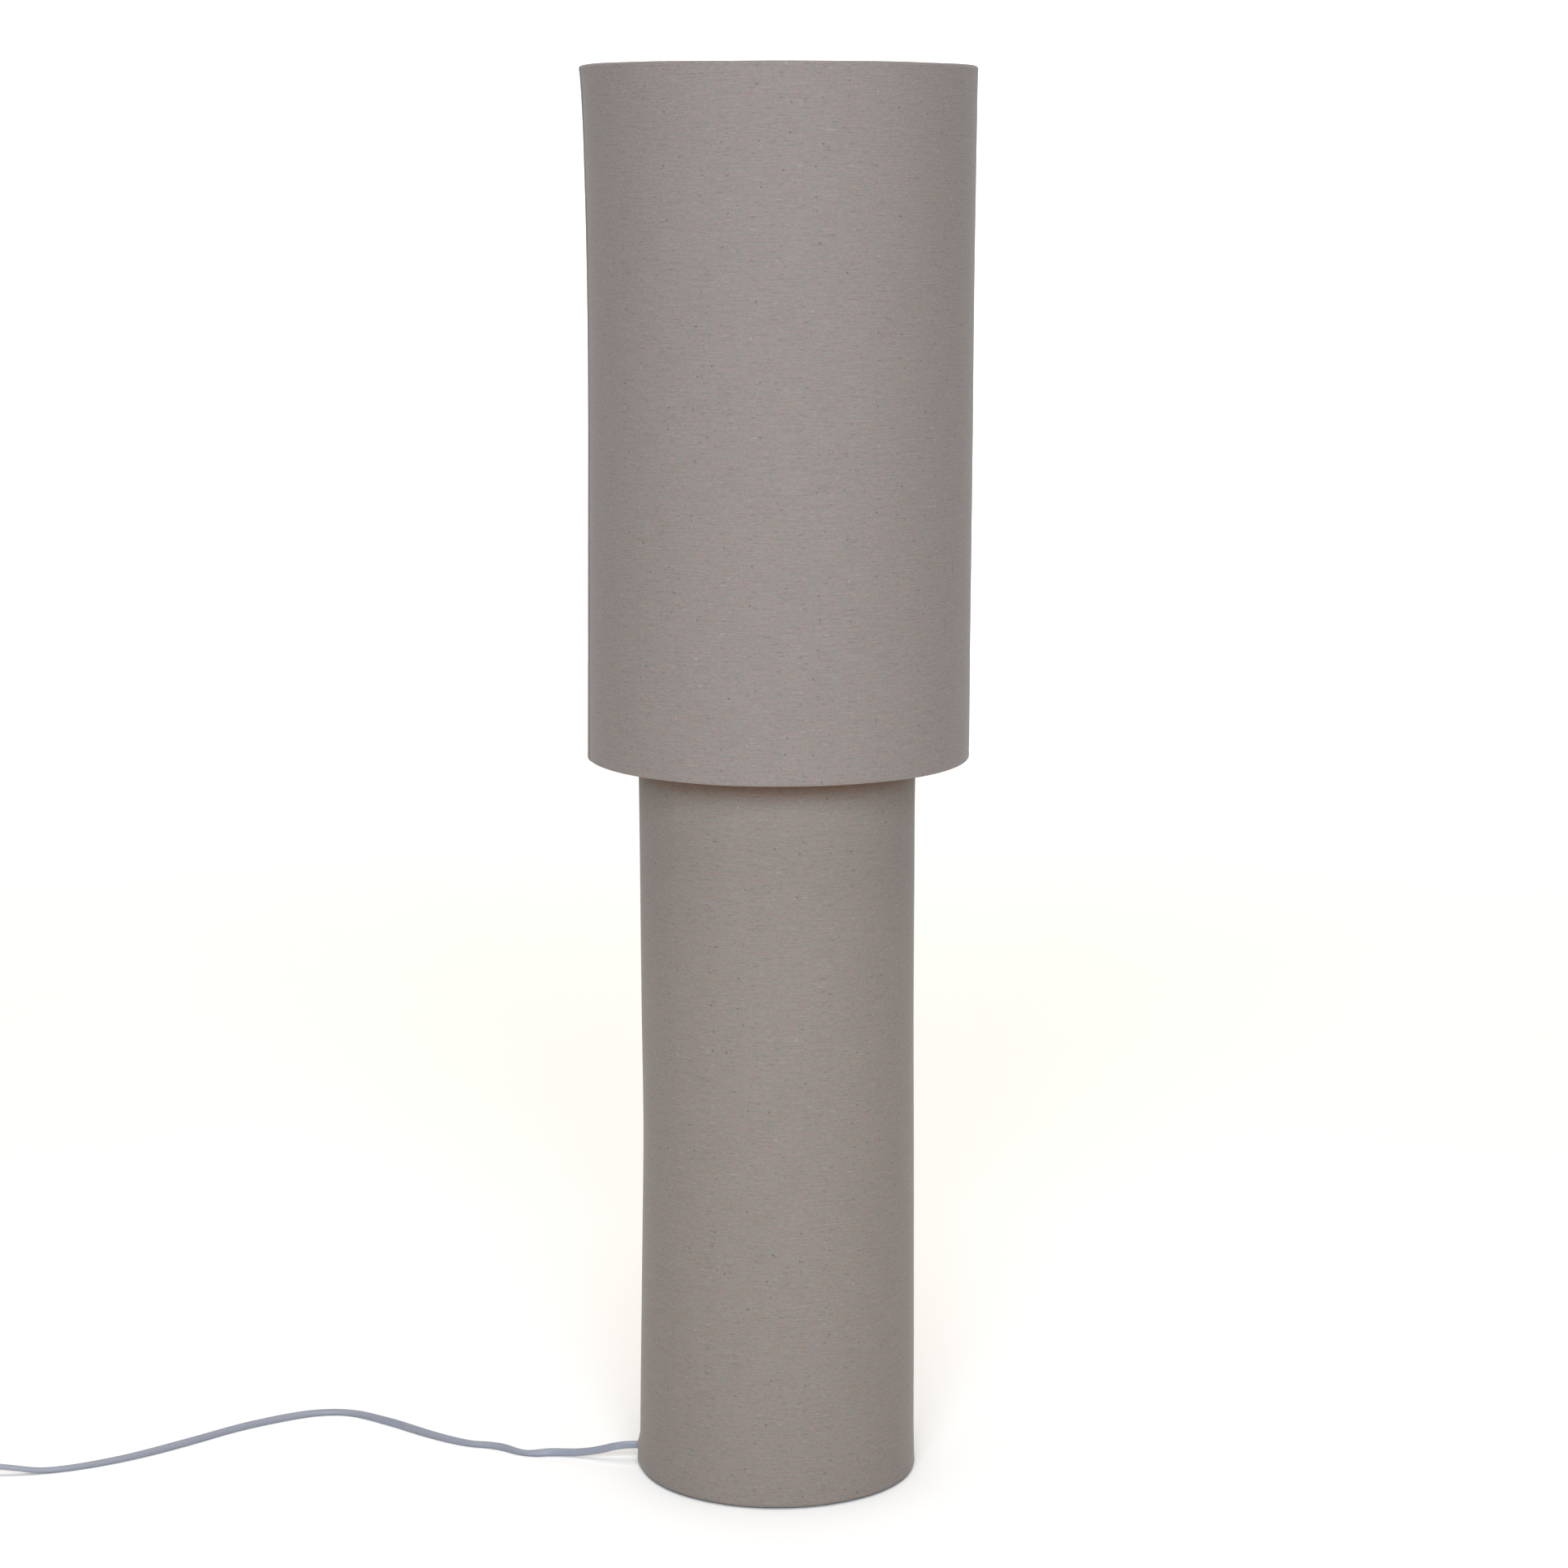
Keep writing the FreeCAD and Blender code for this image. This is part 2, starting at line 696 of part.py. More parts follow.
def holder_skirt():
    base = holder_z + cap_height
    top = base + skirt_height
    inner = skirt_radius - skirt_wall
    thread_z = fitter_z + fitter_thickness
    outline = [(edison_radius - 2, base), (skirt_radius, base), (skirt_radius, shoulder_z),
               (shoulder_radius, shoulder_z), (shoulder_radius, shoulder_z + shoulder_thickness),
               (skirt_radius, shoulder_z + shoulder_thickness)]
    outline += thread_points(skirt_radius, skirt_crest, skirt_pitch, skirt_turns, thread_z)
    outline += [(skirt_radius, top), (inner, top), (inner, base + skirt_wall),
                (edison_radius - 2, base + skirt_wall)]
    parts["holder_skirt"] = turned_outline(outline)


def holder_inside():
    top = holder_z + cap_height
    bottom = top - insert_height
    rim_radius = cap_radius - cap_wall - small_gap
    body = turned_outline([
        (0, bottom), (insert_radius, bottom), (rim_radius, top - insert_rim_height),
        (rim_radius, top), (0, top)])
    blocks = []
    for side in (-1, 1):
        x = side * terminal_offset
        half = terminal_size / 2
        low = (x - half, -half, bottom - terminal_height / 2)
        high = (x + half, half, bottom + terminal_height / 2)
        blocks.append(block(low, high))
        body = body.cut(block(low, high))
    parts["holder_insert"] = body
    parts["holder_terminals"] = Part.makeCompound(blocks)
    half = contact_width / 2
    tongue = block((-half, -contact_reach / 2, top), (half, contact_reach / 2,
                                                     top + contact_thickness))
    tip_z = bulb_tip_z - edison_gap
    post = block((-half, -contact_reach / 2, top), (half, -contact_reach / 2 + contact_thickness,
                                                   tip_z))
    spring_top = block((-half, -contact_reach / 2, tip_z - contact_thickness),
                       (half, contact_rise, tip_z))
    parts["holder_centre_contact"] = tongue.fuse(post).fuse(spring_top)


def draw_waves(outline, radius, wave, z, pitch, count, direction=1):
    """Rounded screw threads drawn as rings, upwards or downwards."""
    step = direction * pitch / 2
    side = direction
    for half_turn in range(count * 2):
        outline.arc(radius + side * wave, z + step / 2, radius, z + step)
        z += step
        side = -side


def holder_screw_shell():
    radius = edison_radius + edison_gap
    low = shell_z
    high = shell_z + edison_pitch * edison_turns
    outline = Outline(radius, low)
    draw_waves(outline, radius, edison_wave, low, edison_pitch, edison_turns)
    outline.line(radius + shell_thickness, high)
    draw_waves(outline, radius + shell_thickness, edison_wave, high, edison_pitch, edison_turns,
               -1)
    parts["holder_screw_shell"] = outline.turned()


def retaining_ring():
    bore = skirt_radius + skirt_crest + ring_bore_gap
    ring = turned_outline([
        (bore, ring_z), (ring_radius, ring_z), (ring_radius, ring_z + ring_flange),
        (ring_radius - 3, ring_z + ring_height), (bore, ring_z + ring_height)])
    groove = cylinder(ring_grip_depth, ring_z, ring_z + ring_height, ring_radius)
    parts["shade_retaining_ring"] = ring.cut(
        Part.makeCompound(ring_of(groove, ring_grip_count)))


# ---- Bulb ----
def bulb():
    inner = edison_radius - edison_wave - bulb_shell
    low = bulb_thread_z
    parts["bulb_tip"] = cylinder(bulb_tip_radius, bulb_tip_z, bulb_tip_z + bulb_tip_height)
    parts["bulb_insulator"] = turned_outline([
        (0, low - bulb_insulator_height), (bulb_tip_radius + 1, low - bulb_insulator_height),
        (edison_radius - 1, low), (0, low)])
    outline = Outline(edison_radius, low)
    draw_waves(outline, edison_radius, edison_wave, low, edison_pitch, edison_turns)
    outline.line(inner, collar_z)
    outline.line(inner, low)
    parts["bulb_cap"] = outline.turned()
    collar_top = collar_z + bulb_collar_height
    collar = Outline(0, collar_z)
    collar.line(edison_radius + edison_wave, collar_z)
    collar.line(edison_radius + edison_wave, collar_z + 3)
    collar.arc(edison_radius + 4, collar_z + bulb_collar_height * 0.6,
               bulb_collar_top_radius, collar_top)
    collar.line(0, collar_top)
    parts["bulb_collar"] = collar.turned()
    globe_top = bulb_tip_z + bulb_height
    globe_z = globe_top - bulb_globe_radius
    shoulder = math.sqrt(bulb_globe_radius ** 2 - (globe_z - collar_top) ** 2)
    globe = Outline(0, collar_top)
    globe.line(min(shoulder, bulb_collar_top_radius), collar_top)
    globe.arc(bulb_globe_radius, globe_z, 0, globe_top)
    parts["bulb_globe"] = globe.turned()


# ---- Foot switch, built about its own centre and then moved into place ----
def stadium(length, width, bottom, top):
    """A block with round ends."""
    radius = width / 2
    half = length / 2 - radius
    middle = block((-half, -radius, bottom), (half, radius, top))
    ends = [cylinder(radius, bottom, top, side * half) for side in (-1, 1)]
    return middle.multiFuse(ends).removeSplitter()


def level_edges(shape, z):
    return [edge for edge in shape.Edges
            if abs(edge.BoundBox.ZMin - z) < 0.01 and abs(edge.BoundBox.ZMax - z) < 0.01]


def four_spots(spot):
    return [(side_x * spot[0], side_y * spot[1]) for side_x in (-1, 1) for side_y in (-1, 1)]


def in_switch(shape):
    return moved(shape, switch_end_x - sleeve_length - sleeve_flange - switch_length / 2, switch_y)


def sleeve(small_end_radius, neck_length):
    """A tapered strain relief along +X, from its neck inside the housing to its small end."""
    points = [(0, -neck_length), (sleeve_neck_radius, -neck_length), (sleeve_neck_radius, 0),
              (sleeve_big_radius, 0), (sleeve_big_radius, sleeve_flange),
              (small_end_radius, sleeve_flange + sleeve_length),
              (0, sleeve_flange + sleeve_length)]
    shape = turned_outline(points)
    shape.rotate(CENTRE, Vec(0, 1, 0), 90)
    return shape


def switch_shells():
    floor = switch_foot_height
    inner_length = switch_length - 2 * switch_wall
    inner_width = switch_width - 2 * switch_wall
    neck_end = switch_length / 2 - sleeve_neck_length
    necks = Part.makeCompound([
        rod(sleeve_neck_radius + small_gap, Vec(side * neck_end, 0, switch_cord_height),
            Vec(side * switch_length, 0, switch_cord_height)) for side in (-1, 1)])
    base = stadium(switch_length, switch_width, floor, switch_parting_height)
    base = base.cut(stadium(inner_length, inner_width, floor + switch_wall,
                            switch_parting_height))
    cover = stadium(switch_length, switch_width, switch_parting_height + small_gap, switch_height)
    cover = cover.makeFillet(min(switch_edge, switch_roof * 2.5),
                             level_edges(cover, switch_height))
    cover = cover.cut(stadium(inner_length, inner_width, switch_parting_height,
                              switch_height - switch_roof))
    seat = floor + switch_boss_seat
    head_top = floor + switch_screw_head_height + small_gap
    screws = []
    for x, y in four_spots(switch_screw_spot):
        base = base.fuse(cylinder(switch_boss_radius + 1, floor, seat, x, y))
        base = base.cut(cylinder(switch_screw_head + small_gap, floor, head_top, x, y))
        base = base.cut(cylinder(switch_screw_radius + small_gap, floor, seat, x, y))
        cover = cover.fuse(cylinder(switch_boss_radius, seat + small_gap,
                                    switch_height - switch_roof, x, y))
        cover = cover.cut(cylinder(switch_screw_radius + bush_fit, seat,
                                   floor + switch_screw_length + 1, x, y))
        head = cylinder(switch_screw_head, floor + small_gap, head_top, x, y)
        screws.append(head.fuse(cylinder(switch_screw_radius, floor + small_gap,
                                         floor + switch_screw_length, x, y)))
    base = base.fuse(cylinder(spring_post_radius, floor, floor + switch_wall + spring_post_height))
    cover = cover.cut(cylinder(button_radius + button_gap, switch_parting_height, switch_height))
    parts["switch_base"] = in_switch(base.cut(necks))
    parts["switch_cover"] = in_switch(cover.cut(necks))
    parts["switch_screws"] = in_switch(Part.makeCompound(screws))
    parts["switch_feet"] = in_switch(Part.makeCompound(
        [cylinder(switch_foot_radius, 0, floor, x, y) for x, y in four_spots(switch_foot_spot)]))


def switch_inside():
    flange_top = switch_height - switch_roof - button_gap
    flange_low = flange_top - button_flange_thickness
    rim = switch_height + button_proud - button_crown
    roof_low = rim - button_wall
    boss_low = flange_low - button_boss_drop
    inner = button_radius - button_wall
    flange_radius = button_radius + button_flange
    button = Outline(0, boss_low)
    for point in ((button_boss_radius, boss_low), (button_boss_radius, roof_low),
                  (inner, roof_low), (inner, flange_low), (flange_radius, flange_low),
                  (flange_radius, flange_top), (button_radius, flange_top), (button_radius, rim)):
        button.line(*point)
    button.bow(button_radius / 2, rim + button_crown * 0.75, 0, rim + button_crown)
    parts["switch_button"] = in_switch(button.turned())
    half = bridge_length / 2
    bar_y = (bridge_offset - bridge_width / 2, bridge_offset + bridge_width / 2)
    bridge_low = flange_low - bridge_thickness
    parts["switch_bridge"] = in_switch(block((-half, bar_y[0], bridge_low),
                                             (half, bar_y[1], flange_low)))
    inside_floor = switch_foot_height + switch_wall
    post_top = bridge_low - button_travel - terminal_reach_gap
    posts = [block((side * (half - 2.5) - 1.5, bar_y[0], inside_floor),
                   (side * (half - 2.5) + 1.5, bar_y[1], post_top)) for side in (-1, 1)]
    parts["switch_terminals"] = in_switch(Part.makeCompound(posts))
    switch_spring(inside_floor + small_gap, boss_low - small_gap)


def switch_spring(low, high):
    start_z = low + spring_wire_radius
    climb = (high - low - 2 * spring_wire_radius) / (spring_turns * 4)
    stations = []
    for quarter in range(spring_turns * 4 + 1):
        angle = math.radians(90.0 * quarter)
        spot = Vec(spring_radius * math.cos(angle), spring_radius * math.sin(angle),
                   start_z + climb * quarter)
        heading = Vec(-math.sin(angle) * spring_radius, math.cos(angle) * spring_radius,
                      climb * 2 / math.pi)
        stations.append((spot, unit(heading)))
    path = Part.Wire(winding(stations))
    solid = pipe(path, spring_wire_radius)
    report_pipe("switch_spring", solid, path, spring_wire_radius)
    print(f"switch_spring: least gap {least_gap(path, spring_wire_radius, 0.5):.2f}")
    parts["switch_spring"] = in_switch(solid)


def switch_sleeves():
    small_end = cord_radius + sleeve_wall
    inlet = sleeve(small_end, sleeve_neck_length)
    outlet = around_z(inlet, 180)
    half = switch_length / 2
    parts["switch_inlet_sleeve"] = in_switch(moved(inlet, half, 0, switch_cord_height))
    parts["switch_outlet_sleeve"] = in_switch(moved(outlet, -half, 0, switch_cord_height))


# ---- The flex outside the lamp ----
def free_cord(name, points):
    path, radii = rounded_path([Vec(*point) for point in points])
    solid = pipe(path, cord_radius)
    report_pipe(name, solid, path, cord_radius, radii)
    print(name, "radii", " ".join(f"{radius:.0f}" for radius in radii))
    parts[name] = solid


def outlet_x():
    return switch_end_x - 2 * (sleeve_length + sleeve_flange) - switch_length


def coil_face_x():
    return outlet_x() - coil_run


def coil_centre():
    return Vec(coil_face_x() - 2 * cord_radius, switch_y + coil_outer_radius, 0)


def coil_station(quarter):
    """The flex's place and heading after so many quarter turns; it winds clockwise."""
    to_end = min(quarter, 2 * coil_quarters_in - quarter)
    radius = coil_outer_radius - coil_pitch * to_end / 4
    level = (quarter > coil_quarters_in) - (quarter < coil_quarters_in)
    height = cord_radius + coil_layer * (1 + level) / 2
    angle = math.radians(-90.0 - 90.0 * quarter)
    outward = Vec(math.cos(angle), math.sin(angle), 0)
    onward = Vec(math.sin(angle), -math.cos(angle), 0)
    at_end = to_end == 0
    drift = 0.0 if at_end or level == 0 else level * coil_pitch / (2 * math.pi)
    climb = 1.5 * coil_layer / math.pi if level == 0 else 0.0
    heading = onward * radius + outward * drift + UP * climb
    spot = coil_centre() + outward * radius + UP * height
    return spot, unit(heading)


def cord_coil():
    stations = [coil_station(quarter) for quarter in range(2 * coil_quarters_in + 1)]
    first, last = stations[0][0], stations[-1][0]
    straight = ALONG_X * (2 * cord_radius)
    edges = [Part.LineSegment(first + straight, first).toShape()]
    edges += winding(stations)
    edges.append(Part.LineSegment(last, last + straight).toShape())
    path = Part.Wire(edges)
    solid = pipe(path, cord_radius)
    report_pipe("cord_coil", solid, path, cord_radius)
    print(f"cord_coil: least gap {least_gap(path, cord_radius):.2f}")
    parts["cord_coil"] = solid


def plug_y():
    return switch_y + 2 * coil_outer_radius


def plug_end_x():
    return coil_face_x() + plug_run


def free_cords():
    exit_point = cord_exit()
    free_cord("cord_to_switch", [tuple(exit_point)] + list(CORD_BEND)
              + [(switch_end_x, switch_y, switch_cord_height)])
    out = outlet_x()
    face = coil_face_x()
    free_cord("cord_from_switch", [
        (out, switch_y, switch_cord_height), (out - run_lead, switch_y, switch_cord_height),
        ((out + face) / 2, switch_y, FLOOR + run_sag), (face + run_lead, switch_y, FLOOR),
        (face, switch_y, FLOOR)])
    top = FLOOR + coil_layer
    side = plug_y()
    level = plug_thickness / 2
    end = plug_end_x()
    free_cord("cord_to_plug", [
        (face, side, top), (face + run_lead, side, top),
        ((face + end) / 2, side - 2 * run_sag, level - run_sag / 2),
        (end - run_lead, side, level), (end, side, level)])


# ---- Plug, built with its front face at x = 0 and then moved into place ----
def in_plug(shape):
    return moved(shape, plug_end_x() + sleeve_length + plug_length, plug_y())


def plug():
    half = plug_width / 2
    rear = plug_rear_width / 2
    length = plug_length
    outline = [(-length, -rear), (-length * 0.83, -rear - 1), (-length * 0.4, -half),
               (-plug_edge, -half), (0, plug_edge - half)]
    corners = [Vec(x, y, 0) for x, y in outline]
    corners += [Vec(x, -y, 0) for x, y in reversed(outline)]
    body = Part.Face(Part.makePolygon(corners + [corners[0]])).extrude(UP * plug_thickness)
    body = body.makeFillet(plug_edge, level_edges(body, 0) + level_edges(body, plug_thickness))
    axis = plug_thickness / 2
    pins = []
    collars = []
    for side in (-1, 1):
        y = side * pin_spacing / 2
        pin = turned_outline([
            (0, -pin_root), (pin_core_radius, -pin_root), (pin_core_radius, pin_collar_length),
            (pin_radius, pin_collar_length), (pin_radius, pin_length - pin_tip),
            (pin_radius - pin_tip * 0.7, pin_length), (0, pin_length)])
        pin.rotate(CENTRE, Vec(0, 1, 0), 90)
        pins.append(moved(pin, 0, y, axis))
        collar = rod(pin_core_radius + bush_fit + pin_collar_wall, Vec(0, y, axis),
                     Vec(pin_collar_length - bush_fit, y, axis))
        hole = rod(pin_core_radius + bush_fit, Vec(-pin_root, y, axis),
                   Vec(pin_collar_length, y, axis))
        collars.append(collar.cut(hole))
        body = body.cut(hole)
    parts["plug_body"] = in_plug(body)
    parts["plug_pins"] = in_plug(Part.makeCompound(pins))
    parts["plug_pin_collars"] = in_plug(Part.makeCompound(collars))
    taper = turned_outline([
        (0, 0), (cord_radius + sleeve_wall, 0), (sleeve_big_radius, sleeve_length),
        (0, sleeve_length)])
    taper.rotate(CENTRE, Vec(0, 1, 0), 90)
    parts["plug_sleeve"] = moved(taper, plug_end_x(), plug_y(), axis)


def export():
    os.makedirs("parts", exist_ok=True)
    for name, shape in parts.items():
        solids = shape.Solids
        state = "ok" if solids and all(solid.isValid() for solid in solids) else "INVALID"
        box = shape.BoundBox
        print(f"{name:24s} {len(solids):2d} {state} volume {shape.Volume:10.1f} "
              f"x {box.XMin:.1f}..{box.XMax:.1f} z {box.ZMin:.1f}..{box.ZMax:.1f}")
        shape.exportStep(f"parts/{name}.step")
    print(len(parts), "parts")


wire_frames()
fabric_covers()
foot()
pole()
inner_lead()
cord_grommet()
cord_clip()
holder_cap()
holder_skirt()
holder_inside()
holder_screw_shell()
retaining_ring()
bulb()
switch_shells()
switch_inside()
switch_sleeves()
free_cords()
cord_coil()
plug()
export()
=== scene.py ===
import json
import math
from collections import namedtuple

import bmesh
import bpy
import numpy as np
from bpy.props import FloatProperty, FloatVectorProperty, PointerProperty
from bpy.types import Operator, Panel, PropertyGroup
from mathutils import Matrix, Vector


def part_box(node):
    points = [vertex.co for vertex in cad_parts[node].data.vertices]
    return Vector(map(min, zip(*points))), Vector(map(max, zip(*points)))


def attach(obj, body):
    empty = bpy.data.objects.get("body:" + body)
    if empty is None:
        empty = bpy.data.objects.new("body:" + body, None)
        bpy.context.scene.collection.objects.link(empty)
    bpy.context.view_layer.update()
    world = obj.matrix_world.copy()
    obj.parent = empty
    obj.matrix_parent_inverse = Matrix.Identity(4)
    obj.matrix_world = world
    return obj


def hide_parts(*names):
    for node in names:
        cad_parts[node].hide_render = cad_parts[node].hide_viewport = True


# Column floor lamp: two fabric drums over wire frames, a pole with a weighted foot, a lamp holder
# with its bulb, and a flat flex with a foot switch, a put-away coil and a plug.
# Everything is in metres in the frame of the CAD model. Sizes in millimetres carry MM, or stand in
# a table whose comment says mm.

bl_info = {
    "name": "Column floor lamp",
    "version": (1, 0, 0),
    "blender": (4, 5, 0),
    "location": "3D view > Sidebar > Lamp",
    "description": "Fabric, flex, finishes and studio for a column floor lamp on its CAD frame",
    "category": "Object",
}

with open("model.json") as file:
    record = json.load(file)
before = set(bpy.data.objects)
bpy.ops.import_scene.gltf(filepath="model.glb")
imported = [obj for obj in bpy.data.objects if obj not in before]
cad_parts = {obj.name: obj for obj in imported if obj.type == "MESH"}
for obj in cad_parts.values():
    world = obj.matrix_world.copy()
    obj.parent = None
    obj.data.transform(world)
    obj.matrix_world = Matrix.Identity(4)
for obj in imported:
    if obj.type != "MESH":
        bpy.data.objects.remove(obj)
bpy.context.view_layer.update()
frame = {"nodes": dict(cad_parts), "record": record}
MM = 0.001

# ---- The drums from the front (mm): height, half width on the left and on the right ----
SHADE_SIDES = (
    (583, 150.6, 150.9), (605, 150.4, 151.0), (669, 149.8, 151.1), (796, 148.8, 151.3),
    (860, 148.3, 151.5), (922, 148.1, 151.6), (985, 148.5, 151.9), (1046, 149.7, 152.3),
    (1077, 150.6, 152.5), (1108, 152.3, 152.8), (1120, 153.4, 153.1),
)
COLUMN_SIDES = (
    (1, 112.1, 111.9), (26, 111.7, 111.3), (94, 110.7, 110.9), (197, 109.1, 110.1),
    (281, 107.9, 109.6), (381, 108.7, 108.9), (480, 109.5, 108.6), (562, 110.3, 108.6),
    (588, 110.5, 109.0), (606, 110.6, 109.7),
)
# Marks in the cloth: drum, angle, height, half length, half height (mm), and which thread colour
CLOTH_MARKS = (
    ("shade", 249.6, 634.0, 1.7, 0.6, "rust"), ("shade", 332.1, 741.0, 0.5, 8.5, "rust"),
    ("shade", 250.7, 897.7, 1.1, 0.8, "slate"), ("column", 243.6, 532.0, 2.2, 0.7, "teal"),
    ("column", 248.6, 366.6, 1.0, 1.0, "slate"), ("column", 247.8, 189.3, 0.9, 0.9, "slate"),
)

# ---- The flex's route: the control points that part.py also uses ----
TO_SWITCH = (
    (-0.1126, 0.0, 0.01415), (-0.1275, 0.0, 0.01415), (-0.146, 0.0045, 0.0076),
    (-0.163, 0.0095, 0.0039), (-0.180, 0.0132, 0.00315), (-0.206, 0.0116, 0.00315),
    (-0.2305, 0.0315, 0.00315), (-0.257, 0.0365, 0.00315), (-0.292, 0.060, 0.00315),
    (-0.335, 0.0975, 0.00315), (-0.362, 0.1155, 0.00315), (-0.389, 0.1145, 0.00315),
    (-0.418, 0.099, 0.00315), (-0.455, 0.072, 0.00315), (-0.488, 0.037, 0.00315),
    (-0.527, 0.003, 0.00315), (-0.567, -0.021, 0.00315), (-0.602, -0.033, 0.0036),
    (-0.632, -0.035, 0.008), (-0.650, -0.035, 0.008),
)
FROM_SWITCH = (
    (-0.777, -0.035, 0.008), (-0.791, -0.035, 0.008), (-0.8105, -0.035, 0.00385),
    (-0.830, -0.035, 0.00315), (-0.844, -0.035, 0.00315),
)
TO_PLUG = (
    (-0.844, 0.053, 0.00995), (-0.830, 0.053, 0.00995), (-0.809, 0.0516, 0.00665),
    (-0.788, 0.053, 0.007), (-0.774, 0.053, 0.007),
)
COIL_MIDDLE = (-0.8503, 0.009)
COIL_RADIUS = 0.044
COIL_TIGHTENING = 0.0017        # per quarter turn, in and out again
COIL_TURN = 1620.0              # degrees, four and a half turns
COIL_STEP = 30.0                # degrees from one control point to the next
COIL_CLIMB = (720.0, 900.0)     # degrees between which it climbs on top of itself
COIL_LOW = 0.00315
COIL_HIGH = 0.00995
FLEX_STEP = 2 * MM              # from one cross-section of the flex to the next
FLEX_HALF_RING = 13             # points round each of its two rounded edges
FLEX_SWAY = (math.radians(1.5), 0.019)      # faint sway of its roll: size, and metres per radian
LYING = (5 * MM, 1.5 * MM)      # below the first height it lies on the floor, faded over the second
# How the flat flex rolls about its line: distance along it (mm), degrees from lying flat
ROLL_TO_SWITCH = (
    (0, 90), (58, 90), (76, 75), (87, 30), (94, 8), (120, 22), (150, 9), (170, 22), (190, 34),
    (205, 48), (225, 60), (245, 38), (262, 28), (295, 14), (320, 25), (370, 25), (400, 20),
    (445, 34), (500, 12), (560, 0), (620, 0),
)
ROLL_TO_PLUG = ((0, 0), (14, 0), (62, 90), (1110, 90), (1165, 0), (1200, 0))


# ---- Settings that a user would change ----
class ViewSettings(PropertyGroup):
    place: FloatVectorProperty(
        name="Place", description="Where the camera stands", subtype="TRANSLATION",
        unit="LENGTH", default=(0.0, -2.936, 1.0462))
    pitch: FloatProperty(
        name="Pitch", description="How far the camera looks down", subtype="ANGLE",
        default=0.1639)
    turn: FloatProperty(
        name="Turn", description="How far the camera looks to the left of the lamp's axis",
        subtype="ANGLE", default=-0.00161)
    tilt: FloatProperty(
        name="Tilt", description="Roll of the camera about its line of sight", subtype="ANGLE",
        default=0.0016)
    lens: FloatProperty(
        name="Lens", description="Focal length on a 36 mm sensor", subtype="DISTANCE_CAMERA",
        default=86.22, min=1.0)


class FlexSettings(PropertyGroup):
    width: FloatProperty(
        name="Width", description="Width of the flat flex", unit="LENGTH", default=0.0063,
        min=0.001)
    thickness: FloatProperty(
        name="Thickness", description="Thickness of the flat flex", unit="LENGTH",
        default=0.0038, min=0.001)
    colour: FloatVectorProperty(
        name="Colour", description="Colour of the soft sheath", subtype="COLOR", size=3,
        default=(0.242, 0.254, 0.300), min=0.0, max=1.0)


class ClothSettings(PropertyGroup):
    warm: FloatVectorProperty(
        name="Warm thread", description="Colour of the warmer yarn", subtype="COLOR", size=3,
        default=(0.238, 0.188, 0.167), min=0.0, max=1.0)
    cool: FloatVectorProperty(
        name="Cool thread", description="Colour of the cooler yarn", subtype="COLOR", size=3,
        default=(0.212, 0.196, 0.179), min=0.0, max=1.0)
    pitch: FloatProperty(
        name="Thread pitch", description="From one thread of the weave to the next",
        unit="LENGTH", default=0.00055, min=0.0001)
    thickness: FloatProperty(
        name="Thickness", description="Thickness of the cloth", unit="LENGTH", default=0.0006,
        min=0.0001)
    backing: FloatProperty(
        name="Backing", description="Thickness of the stiff sheet behind the cloth",
        unit="LENGTH", default=0.0008, min=0.0001)
    lap: FloatProperty(
        name="Seam step", description="How far the lapped seam stands proud", unit="LENGTH",
        default=0.0005, min=0.0)


class FinishSettings(PropertyGroup):
    backing: FloatVectorProperty(
        name="Backing", description="Colour of the sheet behind the cloth", subtype="COLOR",
        size=3, default=(0.80, 0.785, 0.75), min=0.0, max=1.0)
    wire: FloatVectorProperty(
        name="Wire", description="Powder coat of the wire frames and the pole",
        subtype="COLOR", size=3, default=(0.76, 0.76, 0.74), min=0.0, max=1.0)
    holder: FloatVectorProperty(
        name="Lamp holder", description="Colour of the lamp holder's plastic",
        subtype="COLOR", size=3, default=(0.82, 0.82, 0.80), min=0.0, max=1.0)
    switch: FloatVectorProperty(
        name="Foot switch", description="Colour of the switch's plastic", subtype="COLOR",
        size=3, default=(0.242, 0.254, 0.300), min=0.0, max=1.0)


class StageSettings(PropertyGroup):
    floor: FloatVectorProperty(
        name="Floor", description="Colour of the plain floor", subtype="COLOR", size=3,
        default=(0.95, 0.94, 0.92), min=0.0, max=1.0)
    sky: FloatProperty(
        name="Surround", description="Strength of the light from all round", default=0.10,
        min=0.0)
    room_tint: FloatVectorProperty(
        name="Room tint", description="Colour of the light from above and from all round",
        subtype="COLOR", size=3, default=(1.0, 0.95, 0.89), min=0.0, max=1.0)
    front: FloatProperty(
        name="Front light", description="Power of the softbox behind the camera",
        unit="POWER", default=142.0, min=0.0)
    front_tint: FloatVectorProperty(
        name="Front tint", description="Colour of the softbox behind the camera",
        subtype="COLOR", size=3, default=(0.81, 0.895, 1.0), min=0.0, max=1.0)
    above: FloatProperty(
        name="Top light", description="Strength of the wide light from above", default=2.3,
        min=0.0)
    spread: FloatProperty(
        name="Top light's width", description="Angle that the light from above spans",
        subtype="ANGLE", default=math.radians(60.0), min=0.0, max=math.pi)
    glow: FloatProperty(
        name="Backdrop glow", description="How strongly the white backdrop is lit",
        default=0.8, min=0.0)


